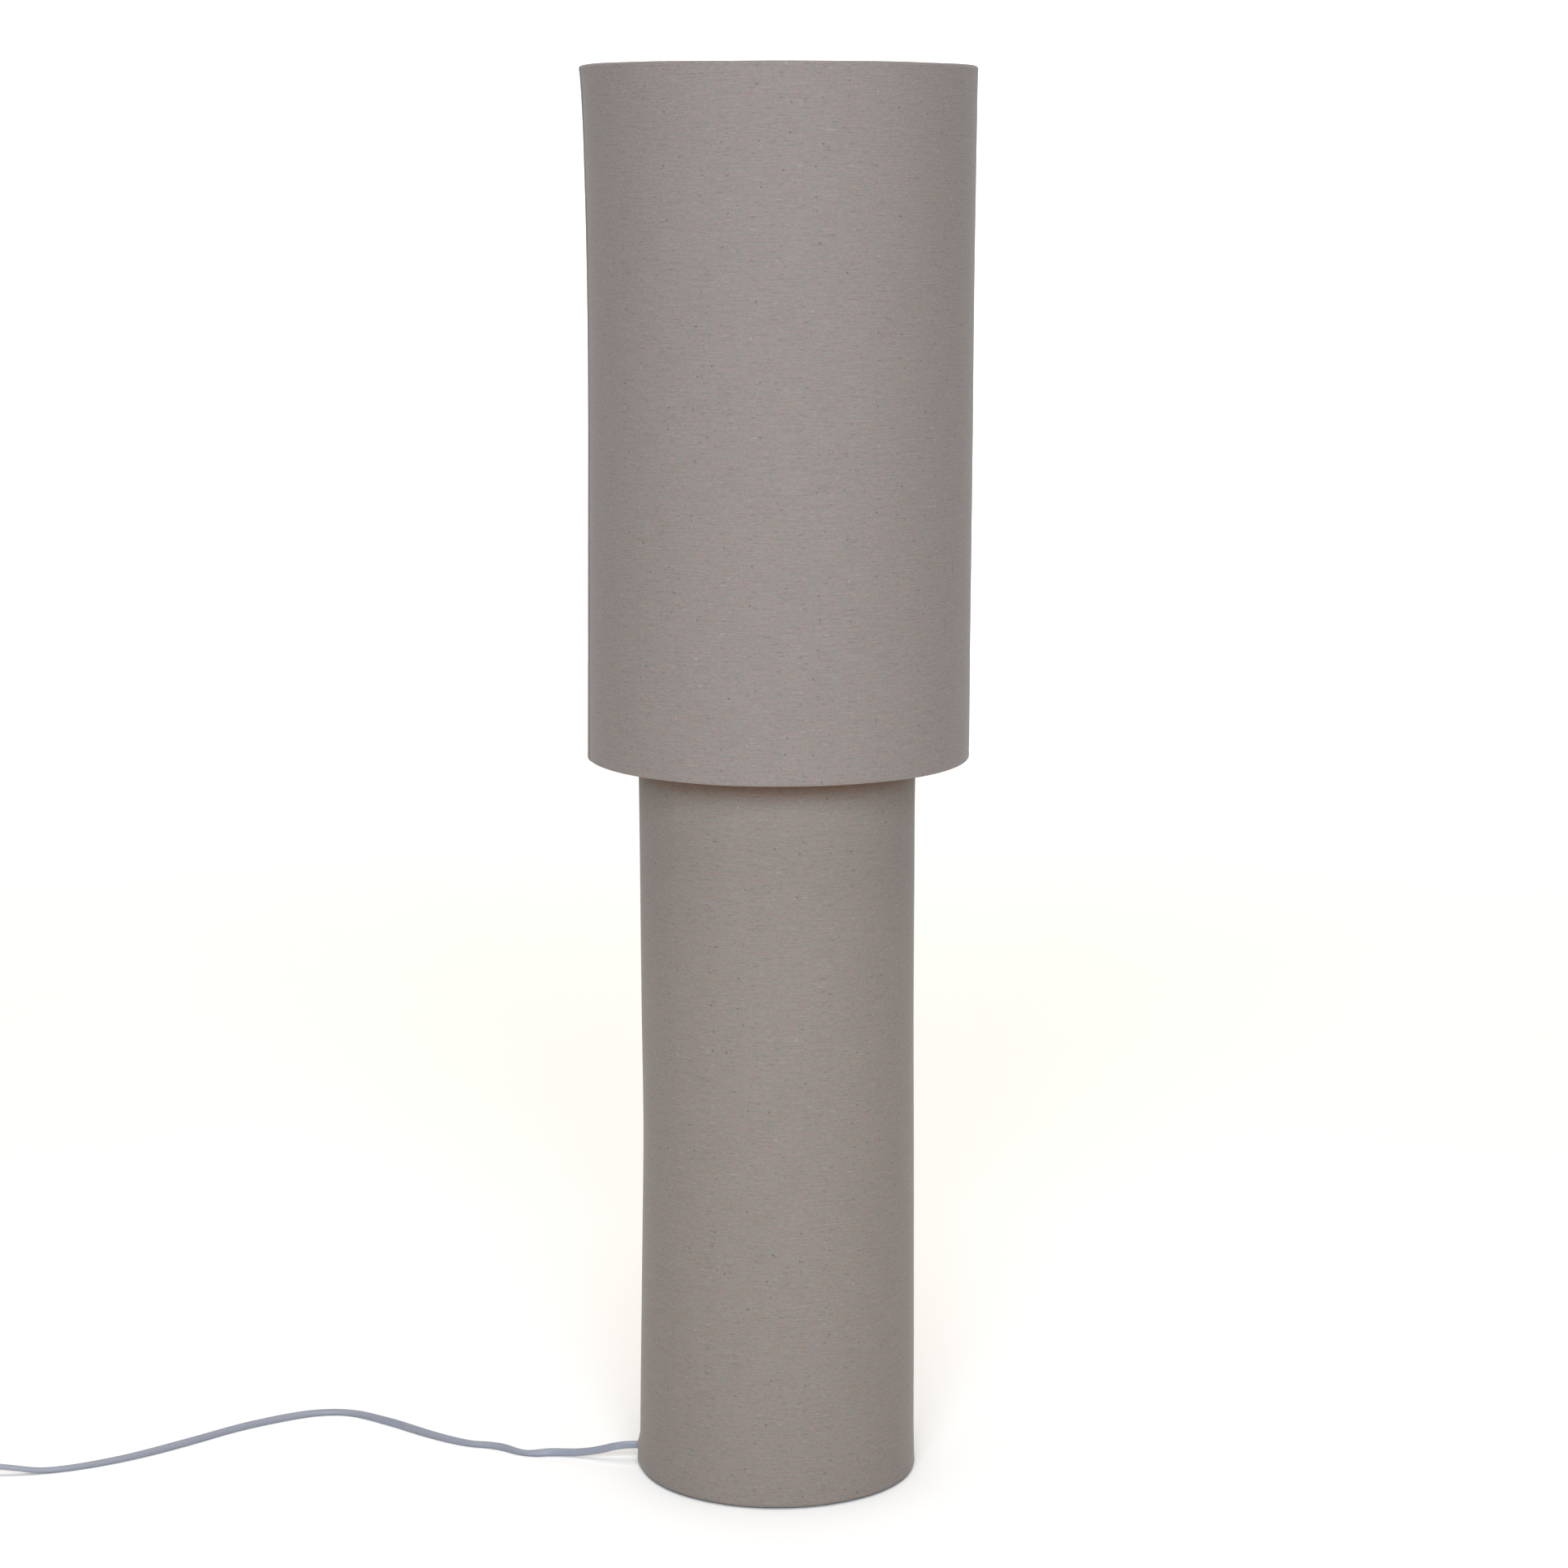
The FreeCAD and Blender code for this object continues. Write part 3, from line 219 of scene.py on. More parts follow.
# ---- Finishes ----
class Finish:
    """A material's node tree, with short calls that add a node and join it up."""

    def __init__(self, name):
        self.material = bpy.data.materials.new(name)
        self.material.use_nodes = True
        self.tree = self.material.node_tree
        self.shader = next(n for n in self.tree.nodes if n.type == "BSDF_PRINCIPLED")
        self.place = self.node("TexCoord").outputs["Object"]

    def join(self, value, socket):
        if isinstance(value, bpy.types.NodeSocket):
            self.tree.links.new(value, socket)
        elif isinstance(value, (tuple, list)) and len(value) == 3 and socket.type == "RGBA":
            socket.default_value = (*value, 1.0)
        else:
            socket.default_value = value

    def node(self, kind, *values, **settings):
        node = self.tree.nodes.new("ShaderNode" + kind)
        for key, value in settings.items():
            setattr(node, key, value)
        for socket, value in zip(node.inputs, values):
            self.join(value, socket)
        return node

    def math(self, operation, *values):
        return self.node("Math", *values, operation=operation).outputs[0]

    def mix(self, share, low, high, mode="MIX"):
        node = self.node("Mix", data_type="RGBA", blend_type=mode)
        self.join(share, node.inputs[0])
        self.join(low, node.inputs[6])
        self.join(high, node.inputs[7])
        return node.outputs[2]

    def fade(self, value, low, high, to_low=0.0, to_high=1.0):
        node = self.node("MapRange", value, low, high, to_low, to_high,
                         interpolation_type="SMOOTHSTEP")
        return node.outputs[0]

    def vector(self, x, y, z):
        return self.node("CombineXYZ", x, y, z).outputs[0]

    def noise(self, scale, detail=2.0, vector=None, roughness=0.5):
        node = self.node("TexNoise")
        self.join(self.place if vector is None else vector, node.inputs["Vector"])
        self.join(scale, node.inputs["Scale"])
        self.join(detail, node.inputs["Detail"])
        self.join(roughness, node.inputs["Roughness"])
        return node.outputs[0]

    def bump(self, height, depth, strength=1.0):
        node = self.node("Bump")
        self.join(strength, node.inputs["Strength"])
        self.join(depth, node.inputs["Distance"])
        self.join(height, node.inputs["Height"])
        self.tree.links.new(node.outputs[0], self.shader.inputs["Normal"])

    def set(self, **values):
        for key, value in values.items():
            self.join(value, self.shader.inputs[key.replace("_", " ")])


def brightened(colour, factor):
    return tuple(min(1.0, part * factor) for part in colour)


def plain_finish(name, colour, roughness, grain=900.0, depth=0.00002, **extra):
    """A moulded, coated or plated surface: fine grain, faint patches and uneven gloss."""
    finish = Finish(name)
    patches = finish.noise(38.0, 3.0)
    grains = finish.noise(grain, 2.0)
    shades = finish.mix(patches, brightened(colour, 0.94), brightened(colour, 1.06))
    gloss = finish.fade(finish.noise(110.0, 3.0), 0.3, 0.7, roughness - 0.06, roughness + 0.06)
    finish.set(Base_Color=shades, Roughness=gloss, **extra)
    finish.bump(grains, depth, 0.6)
    return finish.material


def turned_metal(name, colour, roughness):
    """Plated metal with the fine rings that turning or rolling leaves."""
    finish = Finish(name)
    across = finish.node("Mapping", finish.place, (0, 0, 0), (0, 0, 0), (300, 300, 5200))
    rings = finish.noise(1.0, 3.0, across.outputs[0])
    dull = finish.noise(70.0, 3.0)
    finish.set(Base_Color=finish.mix(dull, brightened(colour, 0.82), brightened(colour, 1.05)),
               Roughness=finish.fade(rings, 0.2, 0.8, roughness - 0.08, roughness + 0.1),
               Metallic=1.0)
    finish.bump(rings, 0.00002, 0.4)
    return finish.material


def felt_finish(name, colour):
    """Pressed fibres in small tufts."""
    finish = Finish(name)
    fibres = finish.noise(2600.0, 4.0, roughness=0.7)
    tufts = finish.noise(420.0, 3.0)
    finish.set(Base_Color=finish.mix(fibres, brightened(colour, 0.5), brightened(colour, 1.7)),
               Roughness=0.95, Sheen_Weight=0.35, Sheen_Roughness=0.6)
    finish.bump(finish.math("ADD", fibres, tufts), 0.0004, 0.8)
    return finish.material


def flex_finish(name, colour):
    """Soft sheath: slightly greasy gloss, faint drawing lines and handling marks."""
    finish = Finish(name)
    patches = finish.noise(22.0, 4.0)
    scuffs = finish.noise(240.0, 5.0, roughness=0.65)
    dust = finish.fade(scuffs, 0.56, 0.74)
    shades = finish.mix(patches, brightened(colour, 0.95), brightened(colour, 1.05))
    finish.set(Base_Color=finish.mix(finish.math("MULTIPLY", dust, 0.14), shades,
                                     (0.62, 0.62, 0.62)),
               Roughness=finish.fade(scuffs, 0.3, 0.7, 0.42, 0.56),
               Coat_Weight=0.06, Coat_Roughness=0.35)
    finish.bump(finish.noise(1300.0, 3.0), 0.00003, 0.5)
    return finish.material


def glass_finish(name, colour):
    """Opal glass or diffuser: milky body under a smooth, lightly dusty skin."""
    finish = Finish(name)
    dust = finish.noise(160.0, 5.0, roughness=0.7)
    finish.set(Base_Color=finish.mix(dust, brightened(colour, 0.97), colour),
               Roughness=finish.fade(dust, 0.35, 0.7, 0.24, 0.4),
               Subsurface_Weight=0.3, Subsurface_Scale=0.01, Coat_Weight=0.3)
    finish.bump(dust, 0.00001, 0.3)
    return finish.material


def backing_finish(name, colour):
    """Stiff sheet behind the cloth: the weave shows faintly through it as a soft relief."""
    finish = Finish(name)
    clouds = finish.noise(30.0, 4.0)
    relief = finish.noise(1500.0, 2.0)
    finish.set(Base_Color=finish.mix(clouds, brightened(colour, 0.96), brightened(colour, 1.03)),
               Roughness=finish.fade(clouds, 0.3, 0.7, 0.5, 0.62),
               Subsurface_Weight=0.12, Subsurface_Scale=0.004)
    finish.bump(relief, 0.00004, 0.5)
    return finish.material


THREADS = {
    "slate": (0.045, 0.043, 0.05), "rust": (0.16, 0.07, 0.05), "teal": (0.05, 0.075, 0.07),
    "ochre": (0.24, 0.15, 0.07), "pale": (0.34, 0.325, 0.31),
}
# Scattered fibres are slate, and of another colour where their random number is above this
FIBRES = ((0.52, "rust"), (0.80, "ochre"), (0.88, "pale"))
# How unevenly the cloth took its dye: the yellower and the bluer extreme on each drum
DYE = {"shade": ((0.99, 0.98, 0.955), (0.99, 0.99, 1.01)),
       "column": ((0.99, 0.97, 0.905), (0.99, 0.985, 0.99))}
# Painted shadow close under the shade: the column's cloth is darkened to warm brown, fully from the
# first height plus the second (mm) up, and not at all below the first height
PAINTED_SHADOW_START = 561.0
PAINTED_SHADOW_RISE = 20.0
PAINTED_SHADOW_TINT = (0.78, 0.54, 0.40)
# Colour of the painted shadow along the seam's edge
SEAM_SHADOW = (0.10, 0.085, 0.08)
# Unevenness of the yarn: its features' length and height (mm), seed, detail, and how far it shades
YARN = {
    "weft": (5.0, 1.0, 1.0, 2.0, 0.40), "warp": (1.0, 4.0, 4.0, 2.0, 0.22),
    "streaks": (24.0, 0.9, 15.0, 2.0, 0.38), "broad": (46.0, 34.0, 7.0, 2.0, 0.05),
    "flecks": (1.7, 1.4, 9.0, 1.0, 0.26),
}
# The same without shading: where warm yarn gives way to cool, and the dye's two extremes meet
TINT = (8.0, 3.2, 12.0)
YELLOWING = (4.0, 4.5, 17.0)
WEAVE_SHADING = 0.07
# Scattered fibres: cell length and height (mm), seed, share of cells, size in the cell, depth
SPECKS = (
    (23.0, 20.0, 21.4, 0.40, 0.050, 0.58), (12.0, 10.0, 33.7, 0.42, 0.070, 0.34),
    (19.0, 5.0, 41.1, 0.40, 0.150, 0.24), (6.0, 19.0, 55.9, 0.22, 0.100, 0.20),
    (7.0, 5.0, 63.2, 0.30, 0.120, 0.20), (42.0, 7.0, 71.5, 0.40, 0.100, 0.20),
)


class Linen(Finish):
    """Plain linen weave, laid round a drum: u runs round the drum and v up it, in mm."""

    def __init__(self, name, drum, cloth):
        super().__init__(name)
        self.radius = drum.radius / MM
        self.seam = drum.seam
        spin = self.node("VectorRotate", self.place, (0, 0, 0), (0, 0, 1),
                         math.radians(180.0 - drum.seam), rotation_type="AXIS_ANGLE")
        parts = self.node("SeparateXYZ", spin.outputs[0]).outputs
        angle = self.math("ARCTAN2", parts[1], parts[0])
        self.u = self.math("MULTIPLY", angle, self.radius)
        self.v = self.math("MULTIPLY", parts[2], 1 / MM)
        self.cloth = cloth

    def threads(self, length, width, seed, detail=2.0):
        """Unevenness with features of that size round the drum and up it."""
        place = self.vector(self.math("DIVIDE", self.u, length),
                            self.math("DIVIDE", self.v, width), seed)
        return self.noise(1.0, detail, place)

    def slubs(self, length, width, seed, share, size):
        """Scattered thick or coloured fibres: a mask, and a random number for each."""
        place = self.vector(self.math("ADD", self.math("DIVIDE", self.u, length), seed),
                            self.math("DIVIDE", self.v, width), 0.0)
        cells = self.node("TexVoronoi", place, voronoi_dimensions="2D")
        cells.inputs["Scale"].default_value = 1.0
        cells.inputs["Randomness"].default_value = 1.0
        chances = self.node("SeparateColor", cells.outputs["Color"]).outputs
        chosen = self.math("LESS_THAN", chances[0], share)
        near = self.fade(cells.outputs["Distance"], size * 0.35, size, 1.0, 0.0)
        return self.math("MULTIPLY", near, chosen), chances[1]

    def marked(self, colour, angle, height, half_length, half_height, thread):
        """The colour with one oval mark of another thread in it."""
        turn = (angle - self.seam) % 360.0 - 180.0
        centre = math.radians(turn) * self.radius
        across = self.math("DIVIDE", self.math("SUBTRACT", self.u, centre), half_length)
        up = self.math("DIVIDE", self.math("SUBTRACT", self.v, height), half_height)
        far = self.math("SQRT", self.math("ADD", self.math("MULTIPLY", across, across),
                                          self.math("MULTIPLY", up, up)))
        return self.mix(self.math("MULTIPLY", self.fade(far, 0.5, 1.15, 1.0, 0.0), 0.6), colour,
                        THREADS[thread])

    def weave(self):
        """Over and under: a checkerboard of threads, from -1 to 1."""
        turns = math.pi * MM / self.cloth.pitch
        round_it = self.math("SINE", self.math("MULTIPLY", self.u, turns))
        up_it = self.math("SINE", self.math("MULTIPLY", self.v, turns))
        return self.math("MULTIPLY", round_it, up_it)


def shaded(finish, colour, amount, pattern, middle=0.5):
    """The colour made lighter and darker by a pattern about its middle value."""
    swing = finish.math("MULTIPLY", finish.math("SUBTRACT", pattern, middle), amount)
    light = finish.math("ADD", swing, 1.0)
    grey = finish.node("CombineColor", light, light, light).outputs[0]
    return finish.mix(1.0, colour, grey, "MULTIPLY")


def blended(linen, low, high, size):
    """From one colour to another and back, in patches of that size."""
    share = linen.node("MapRange", linen.threads(*size), 0.30, 0.70).outputs[0]
    return linen.mix(share, low, high)


def linen_finish(name, drum, cloth):
    """Uneven yarn in two dyed shades, the weave's relief, odd fibres, and painted shadows: along
    the seam, and on the column close under the shade.
    """
    linen = Linen(name, drum, cloth)
    weave = linen.weave()
    colour = blended(linen, tuple(cloth.warm), tuple(cloth.cool), TINT)
    colour = linen.mix(1.0, colour, blended(linen, *DYE[drum.name], YELLOWING), "MULTIPLY")
    yarn = {}
    for key, (*size, amount) in YARN.items():
        yarn[key] = linen.threads(*size)
        colour = shaded(linen, colour, amount, yarn[key])
    colour = shaded(linen, colour, WEAVE_SHADING, weave, 0.0)
    for *cells, depth in SPECKS:
        mask, chance = linen.slubs(*cells)
        thread = THREADS["slate"]
        for above, other in FIBRES:
            thread = linen.mix(linen.math("GREATER_THAN", chance, above), thread, THREADS[other])
        colour = linen.mix(linen.math("MULTIPLY", mask, depth), colour, thread)
    # Painted shadow: the column's cloth is darkened to warm brown just under the shade's rim
    if drum.name == "column":
        painted_shadow = linen.fade(linen.v, PAINTED_SHADOW_START, PAINTED_SHADOW_START + PAINTED_SHADOW_RISE)
        colour = linen.mix(painted_shadow, colour, PAINTED_SHADOW_TINT, "MULTIPLY")
    for mark_drum, *place, thread in CLOTH_MARKS:
        if mark_drum == drum.name:
            colour = linen.marked(colour, *place, thread)
    # Painted shadow along the seam's edge and the darkened lap, read from the seam attribute
    seam = linen.node("Attribute", attribute_name="seam", attribute_type="GEOMETRY")
    colour = linen.mix(linen.math("MULTIPLY", seam.outputs["Fac"], 0.42), colour, SEAM_SHADOW)
    linen.set(Base_Color=colour, Roughness=0.92, Sheen_Weight=0.16, Sheen_Roughness=0.45,
              Specular_IOR_Level=0.25)
    height = linen.math("ADD", linen.math("MULTIPLY", weave, 0.35),
                        linen.math("ADD", yarn["weft"],
                                   linen.math("MULTIPLY", yarn["warp"], 0.6)))
    linen.bump(height, 0.00012, 0.55)
    return linen.material


def slot_finish(slot):
    """The finish of one of the record's material slots, made once."""
    name = slot + "_finish"
    known = bpy.data.materials.get(name)
    if known:
        return known
    colours = bpy.context.scene.lamp_finish
    flex = bpy.context.scene.lamp_flex
    makers = {
        "backing": lambda: backing_finish(name, tuple(colours.backing)),
        "wire": lambda: plain_finish(name, tuple(colours.wire), 0.42, grain=1500.0,
                                     depth=0.00005),
        "pole_steel": lambda: plain_finish(name, tuple(colours.wire), 0.40, grain=1300.0,
                                           depth=0.00005),
        "felt": lambda: felt_finish(name, (0.018, 0.018, 0.018)),
        "plate": lambda: plain_finish(name, (0.02, 0.02, 0.021), 0.5, grain=1700.0,
                                      depth=0.00008),
        "zinc": lambda: turned_metal(name, (0.60, 0.61, 0.63), 0.34),
        "spring_steel": lambda: turned_metal(name, (0.52, 0.52, 0.54), 0.28),
        "contact_metal": lambda: turned_metal(name, (0.72, 0.56, 0.26), 0.30),
        "shell_metal": lambda: turned_metal(name, (0.64, 0.63, 0.60), 0.24),
        "grommet_rubber": lambda: plain_finish(name, (0.022, 0.022, 0.023), 0.7, depth=0.00004),
        "flex": lambda: flex_finish(name, tuple(flex.colour)),
        "holder_plastic": lambda: plain_finish(name, tuple(colours.holder), 0.30,
                                               depth=0.00001, Coat_Weight=0.15),
        "holder_ceramic": lambda: plain_finish(name, (0.78, 0.76, 0.70), 0.24, grain=2200.0,
                                               Coat_Weight=0.4),
        "bulb_black": lambda: plain_finish(name, (0.012, 0.012, 0.014), 0.2, Coat_Weight=0.5),
        "bulb_body": lambda: plain_finish(name, (0.80, 0.80, 0.78), 0.44, depth=0.00002),
        "bulb_glass": lambda: glass_finish(name, (0.88, 0.88, 0.85)),
        "switch_plastic": lambda: plain_finish(name, tuple(colours.switch), 0.36,
                                               grain=1900.0, depth=0.00004),
    }
    return makers[slot]()


def finish_nodes(*names):
    """Gives the CAD nodes the finish of their slots."""
    slots = {part["node"]: part["material_slot"] for part in frame["record"]["subparts"]}
    for name in names:
        mesh = frame["nodes"][name].data
        mesh.materials.clear()
        mesh.materials.append(slot_finish(slots[name]))


# ---- Meshes ----
SHARP_EDGE = math.radians(38.0)


def grid_faces(rows, columns, looped):
    """Quads over rows of points that each close on themselves; looped joins last row and first."""
    faces = []
    for row in range(rows if looped else rows - 1):
        after = (row + 1) % rows
        for column in range(columns):
            beside = (column + 1) % columns
            faces.append((row * columns + column, row * columns + beside,
                          after * columns + beside, after * columns + column))
    return faces


def new_piece(name, points, faces, body, material):
    mesh = bpy.data.meshes.new(name)
    mesh.from_pydata(points.reshape(-1, 3).tolist(), [], faces)
    work = bmesh.new()
    work.from_mesh(mesh)
    bmesh.ops.recalc_face_normals(work, faces=work.faces)
    work.to_mesh(mesh)
    work.free()
    mesh.polygons.foreach_set("use_smooth", [True] * len(mesh.polygons))
    mesh.set_sharp_from_angle(angle=SHARP_EDGE)
    mesh.materials.append(material)
    piece = bpy.data.objects.new(name, mesh)
    bpy.context.scene.collection.objects.link(piece)
    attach(piece, body)
    return piece


def swept(name, rings, material):
    """A closed tube over rings of points, with a flat end on both sides, on the stand."""
    rows, columns = rings.shape[:2]
    faces = grid_faces(rows, columns, False)
    faces.append(tuple(reversed(range(columns))))
    faces.append(tuple(range((rows - 1) * columns, rows * columns)))
    return new_piece(name, rings, faces, "stand", material)


def through(stations, values, at):
    """A smooth curve through the stations."""
    stations = np.asarray(stations, float)
    values = np.asarray(values, float)
    slopes = np.gradient(values, stations)
    index = np.clip(np.searchsorted(stations, at) - 1, 0, len(stations) - 2)
    span = stations[index + 1] - stations[index]
    t = np.clip((at - stations[index]) / span, 0.0, 1.0)
    left = values[index] * (1 + 2 * t) * (1 - t) ** 2 + slopes[index] * span * t * (1 - t) ** 2
    right = values[index + 1] * t * t * (3 - 2 * t) - slopes[index + 1] * span * t * t * (1 - t)
    return left + right


def step_up(value, low, high):
    """0 up to low, 1 from high on, and smooth between them."""
    t = np.clip((value - low) / (high - low), 0.0, 1.0)
    return t * t * (3 - 2 * t)


# ---- Drums ----
Drum = namedtuple(
    "Drum", "name sides radius seam seam_lean lap_angle exit body bottom top low high")
Hem = namedtuple("Hem", "radius z side")
# Outline, mean radius, the seam's angle, lean and lap (degrees), whether the flex comes out, body
DRUMS = {
    "shade": (SHADE_SIDES, 0.1508, 190.0, 1.6, 3.8, False, "shade"),
    "column": (COLUMN_SIDES, 0.110, 90.0, 0.0, 5.3, True, "stand"),
}
WIRE_RADIUS = 1.75 * MM
ROLL = 2.75 * MM                # from the wire's middle to the cloth's outer face
ROLL_ANGLES = range(15, 244, 12)
# Where the cloth's two faces end behind a wire (mm): out from the wire's middle, and past it
OUTER_TUCK = ((-0.3, 3.7), (0.1, 5.2), (0.2, 7.4))
INNER_TUCK = ((0.3, 3.5), (0.7, 5.0), (0.8, 7.4))
# Bead over each wire and dip beside it (mm): height, distance from the wire, width
WIRE_RELIEF = ((0.08, 0.0, 1.9), (-0.10, 5.0, 1.6))
# Slow waves in the wall: size (mm), number round it, lean with the height (radians per m), start
WALL_WAVES = ((0.12, 3, 9.0, 1.0), (0.08, 7, -21.0, 0.0))
# The same along the rolled edges: size (mm), number round them, start
EDGE_WAVES = ((0.10, 5, 1.0), (0.07, 11, 0.0))
# The flex pushes the cloth out: by how much, over how many degrees, up to which height, fading over
EXIT_PUSH, EXIT_SPREAD, EXIT_TOP, EXIT_FADE = 1.9 * MM, 9.0, 24 * MM, 7 * MM
EXIT_ANGLE = 180.0
# Mesh columns (degrees) beside each edge of the seam and round the exit, and the least gap
SEAM_COLUMNS = (-0.5, -0.16, -0.02, 0.02, 0.16, 0.5)
EXIT_COLUMNS = tuple(np.arange(-7.5, 8.0))
LEAST_GAP = 0.3
# Mesh rows (mm) from each wire up the wall, and the step between the rows in the middle
NEAR_WIRE = (0.0, 0.8, 1.6, 2.4, 3.2, 4.0, 4.8, 5.6, 6.6, 8.0, 10.0, 13.0, 17.0, 22.0)
WALL_STEP = 9 * MM
LAP_ROWS = 4                    # rows of each rolled edge that the lap's step still reaches
# The seam's painted shadow line: its width, and how dark the lap beside it is made
SEAM_WIDTH = 0.12               # degrees, of the dark line along the seam
LAP_SHADE = 0.25                # how dark the lap is beside that line
LEAN_SPREAD = 12.0              # degrees beside the seam that lean with it
# The lining: its gap behind the cloth, its distance from each wire, its lap's step and its rows
LINING_GAP, LINING_END, LINING_LAP, LINING_ROWS = 0.05 * MM, 2.55 * MM, 0.4 * MM, 60
# Half width and half height of the holes that the flex passes
CLOTH_HOLE = (2.2 * MM, 3.45 * MM)
LINING_HOLE = (5.3 * MM, 5.3 * MM)
CUT_INSIDE, CUT_LENGTH = 8 * MM, 14 * MM


def ring_hem(node, side):
    """The middle of the wire in a rolled edge, read from the CAD ring."""
    low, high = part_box(node)
    return Hem(high.x - WIRE_RADIUS, (low.z + high.z) / 2, side)


def drum_of(name):
    """The sizes of one drum, from its CAD rings and fabric."""
    low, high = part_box(name + "_fabric")
    return Drum(name, *DRUMS[name], low.z, high.z, ring_hem(name + "_bottom_ring", -1),
                ring_hem(name + "_top_ring", 1))


def wall(drum, angle, z):
    """The cloth's outer radius at an angle (degrees) and height."""
    heights, left, right = (np.array(part, float) * MM for part in zip(*drum.sides))
    share = ((1 - np.cos(np.radians(angle))) / 2) ** 1.5
    radius = through(heights, left, z) * share + through(heights, right, z) * (1 - share)
    turn = np.radians(angle)
    for size, number, lean, start in WALL_WAVES:
        radius = radius + size * MM * np.sin(number * turn + lean * z + start)
    if drum.exit:
        push = np.exp(-((angle - EXIT_ANGLE) / EXIT_SPREAD) ** 2)
        radius = radius + EXIT_PUSH * (push * step_up(EXIT_TOP - z, 0.0, EXIT_FADE))
    return radius


def edge_relief(drum, z):
    """The faint bead over each wire and the shallow dip beside it."""
    relief = 0.0
    for hem in (drum.low, drum.high):
        inward = (hem.z - z) * hem.side
        for height, away, width in WIRE_RELIEF:
            relief = relief + height * MM * np.exp(-((inward - away * MM) / (width * MM)) ** 2)
    return relief


def seam_line(drum, z):
    """The angle of the seam's visible edge, which leans a little."""
    share = (z - drum.bottom) / (drum.top - drum.bottom)
    return drum.seam + drum.seam_lean * (0.9 - 2 * share)


def drum_angles(drum):
    """Even columns round the drum, with close ones at both edges of the seam."""
    even = np.arange(0.0, 360.0, 1.0)
    edges = []
    for edge in (drum.seam, drum.seam - drum.lap_angle):
        edges += [edge + beside for beside in SEAM_COLUMNS]
    if drum.exit:
        edges += [EXIT_ANGLE + beside for beside in EXIT_COLUMNS]
    apart = [a for a in even if min(abs(a - e) for e in edges) > LEAST_GAP]
    return np.array(sorted(apart + edges))


def wall_heights(drum):
    """Heights up the wall between the two wires, close together near them."""
    near = np.array(NEAR_WIRE) * MM
    start = drum.low.z + near[-1]
    end = drum.high.z - near[-1]
    middle = np.linspace(start, end, int((end - start) / WALL_STEP))[1:-1]
    return np.concatenate([drum.low.z + near, middle, drum.high.z - near[::-1]])


def roll_rows(hem, inset):
    """The cloth rolled over a wire, from the wall inwards: share of the wall's radius, fixed
    radius, the wall's height to read and the point's own height."""
    rows = []
    reach = ROLL - inset
    for angle in ROLL_ANGLES:
        turn = math.radians(angle)
        height = hem.z + hem.side * reach * math.sin(turn)
        if angle < 90:
            share = math.cos(turn)
            rows.append((share, hem.radius * (1 - share) - inset * share, hem.z, height))
        else:
            rows.append((0.0, hem.radius + reach * math.cos(turn), hem.z, height))
    for out, past in INNER_TUCK if inset else OUTER_TUCK:
        rows.append((0.0, hem.radius + out * MM, hem.z, hem.z - hem.side * past * MM))
    return rows


def cover_rows(drum, thickness):
    """The cloth's whole cross-section, once round: outer face up, then inner face down; and the
    first row of the outer wall and how many rows it has."""
    heights = wall_heights(drum)
    outer = [(1.0, 0.0, z, z) for z in heights]
    inner = [(1.0, -thickness, z, z) for z in heights[::-1]]
    start = roll_rows(drum.low, 0.0)[::-1]
    rows = (start + outer + roll_rows(drum.high, 0.0) + roll_rows(drum.high, thickness)[::-1]
            + inner + roll_rows(drum.low, thickness))
    return rows, len(start), len(outer)


def doubled(drum, columns):
    """1 on the columns where the cloth lies double at its seam, 0 on the others."""
    return ((columns > drum.seam - drum.lap_angle) & (columns < drum.seam)).astype(float)


def seam_shift(drum, angles, heights):
    """Leans the columns near the seam along with it."""
    lean = seam_line(drum, heights)[:, None] - drum.seam
    return angles[None, :] + lean * np.exp(-((angles[None, :] - drum.seam) / LEAN_SPREAD) ** 2)


def on_drum(radius, angle, height):
    """Points at those distances from the axis, angles (degrees) and heights."""
    turn = np.radians(angle)
    return np.stack([radius * np.cos(turn), radius * np.sin(turn),
                     np.broadcast_to(height, radius.shape)], axis=-1)


def build_cover(drum, cloth):
    """One continuous cloth, rolled over both wires, with its ends lapped in a seam."""
    rows, first_outer, outer_count = cover_rows(drum, cloth.thickness)
    share, rest, read_z, z = (np.array(part)[:, None] for part in zip(*rows))
    columns = drum_angles(drum)
    angle = seam_shift(drum, columns, z[:, 0])
    reading = wall(drum, angle, np.broadcast_to(read_z, angle.shape))
    radius = share * (reading + edge_relief(drum, read_z)) + rest
    lap = doubled(drum, columns)
    outer = np.zeros(len(rows))
    outer[first_outer - LAP_ROWS:first_outer + outer_count + LAP_ROWS] = 1.0
    radius = radius + outer[:, None] * lap[None, :] * cloth.lap
    wobble = sum(size * MM * np.sin(np.radians(angle) * number + start)
                 for size, number, start in EDGE_WAVES)
    height = z + wobble * (share < 0.999)       # the wall's own rows, of share 1, stay level
    points = on_drum(radius, angle, height)
    piece = new_piece(drum.name + "_cloth", points,
                      grid_faces(len(rows), len(columns), True), drum.body,
                      linen_finish("linen_" + drum.name, drum, cloth))
    # The seam attribute carries the painted shadow along the seam's edge and the darkening of the
    # lap beside it
    seam = piece.data.attributes.new("seam", "FLOAT", "POINT")
    line = np.exp(-(np.abs(columns - drum.seam) / SEAM_WIDTH) ** 2) + LAP_SHADE * lap
    seam.data.foreach_set("value", (outer[:, None] * line[None, :]).ravel().astype(np.float32))
    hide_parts(drum.name + "_fabric")
    return piece


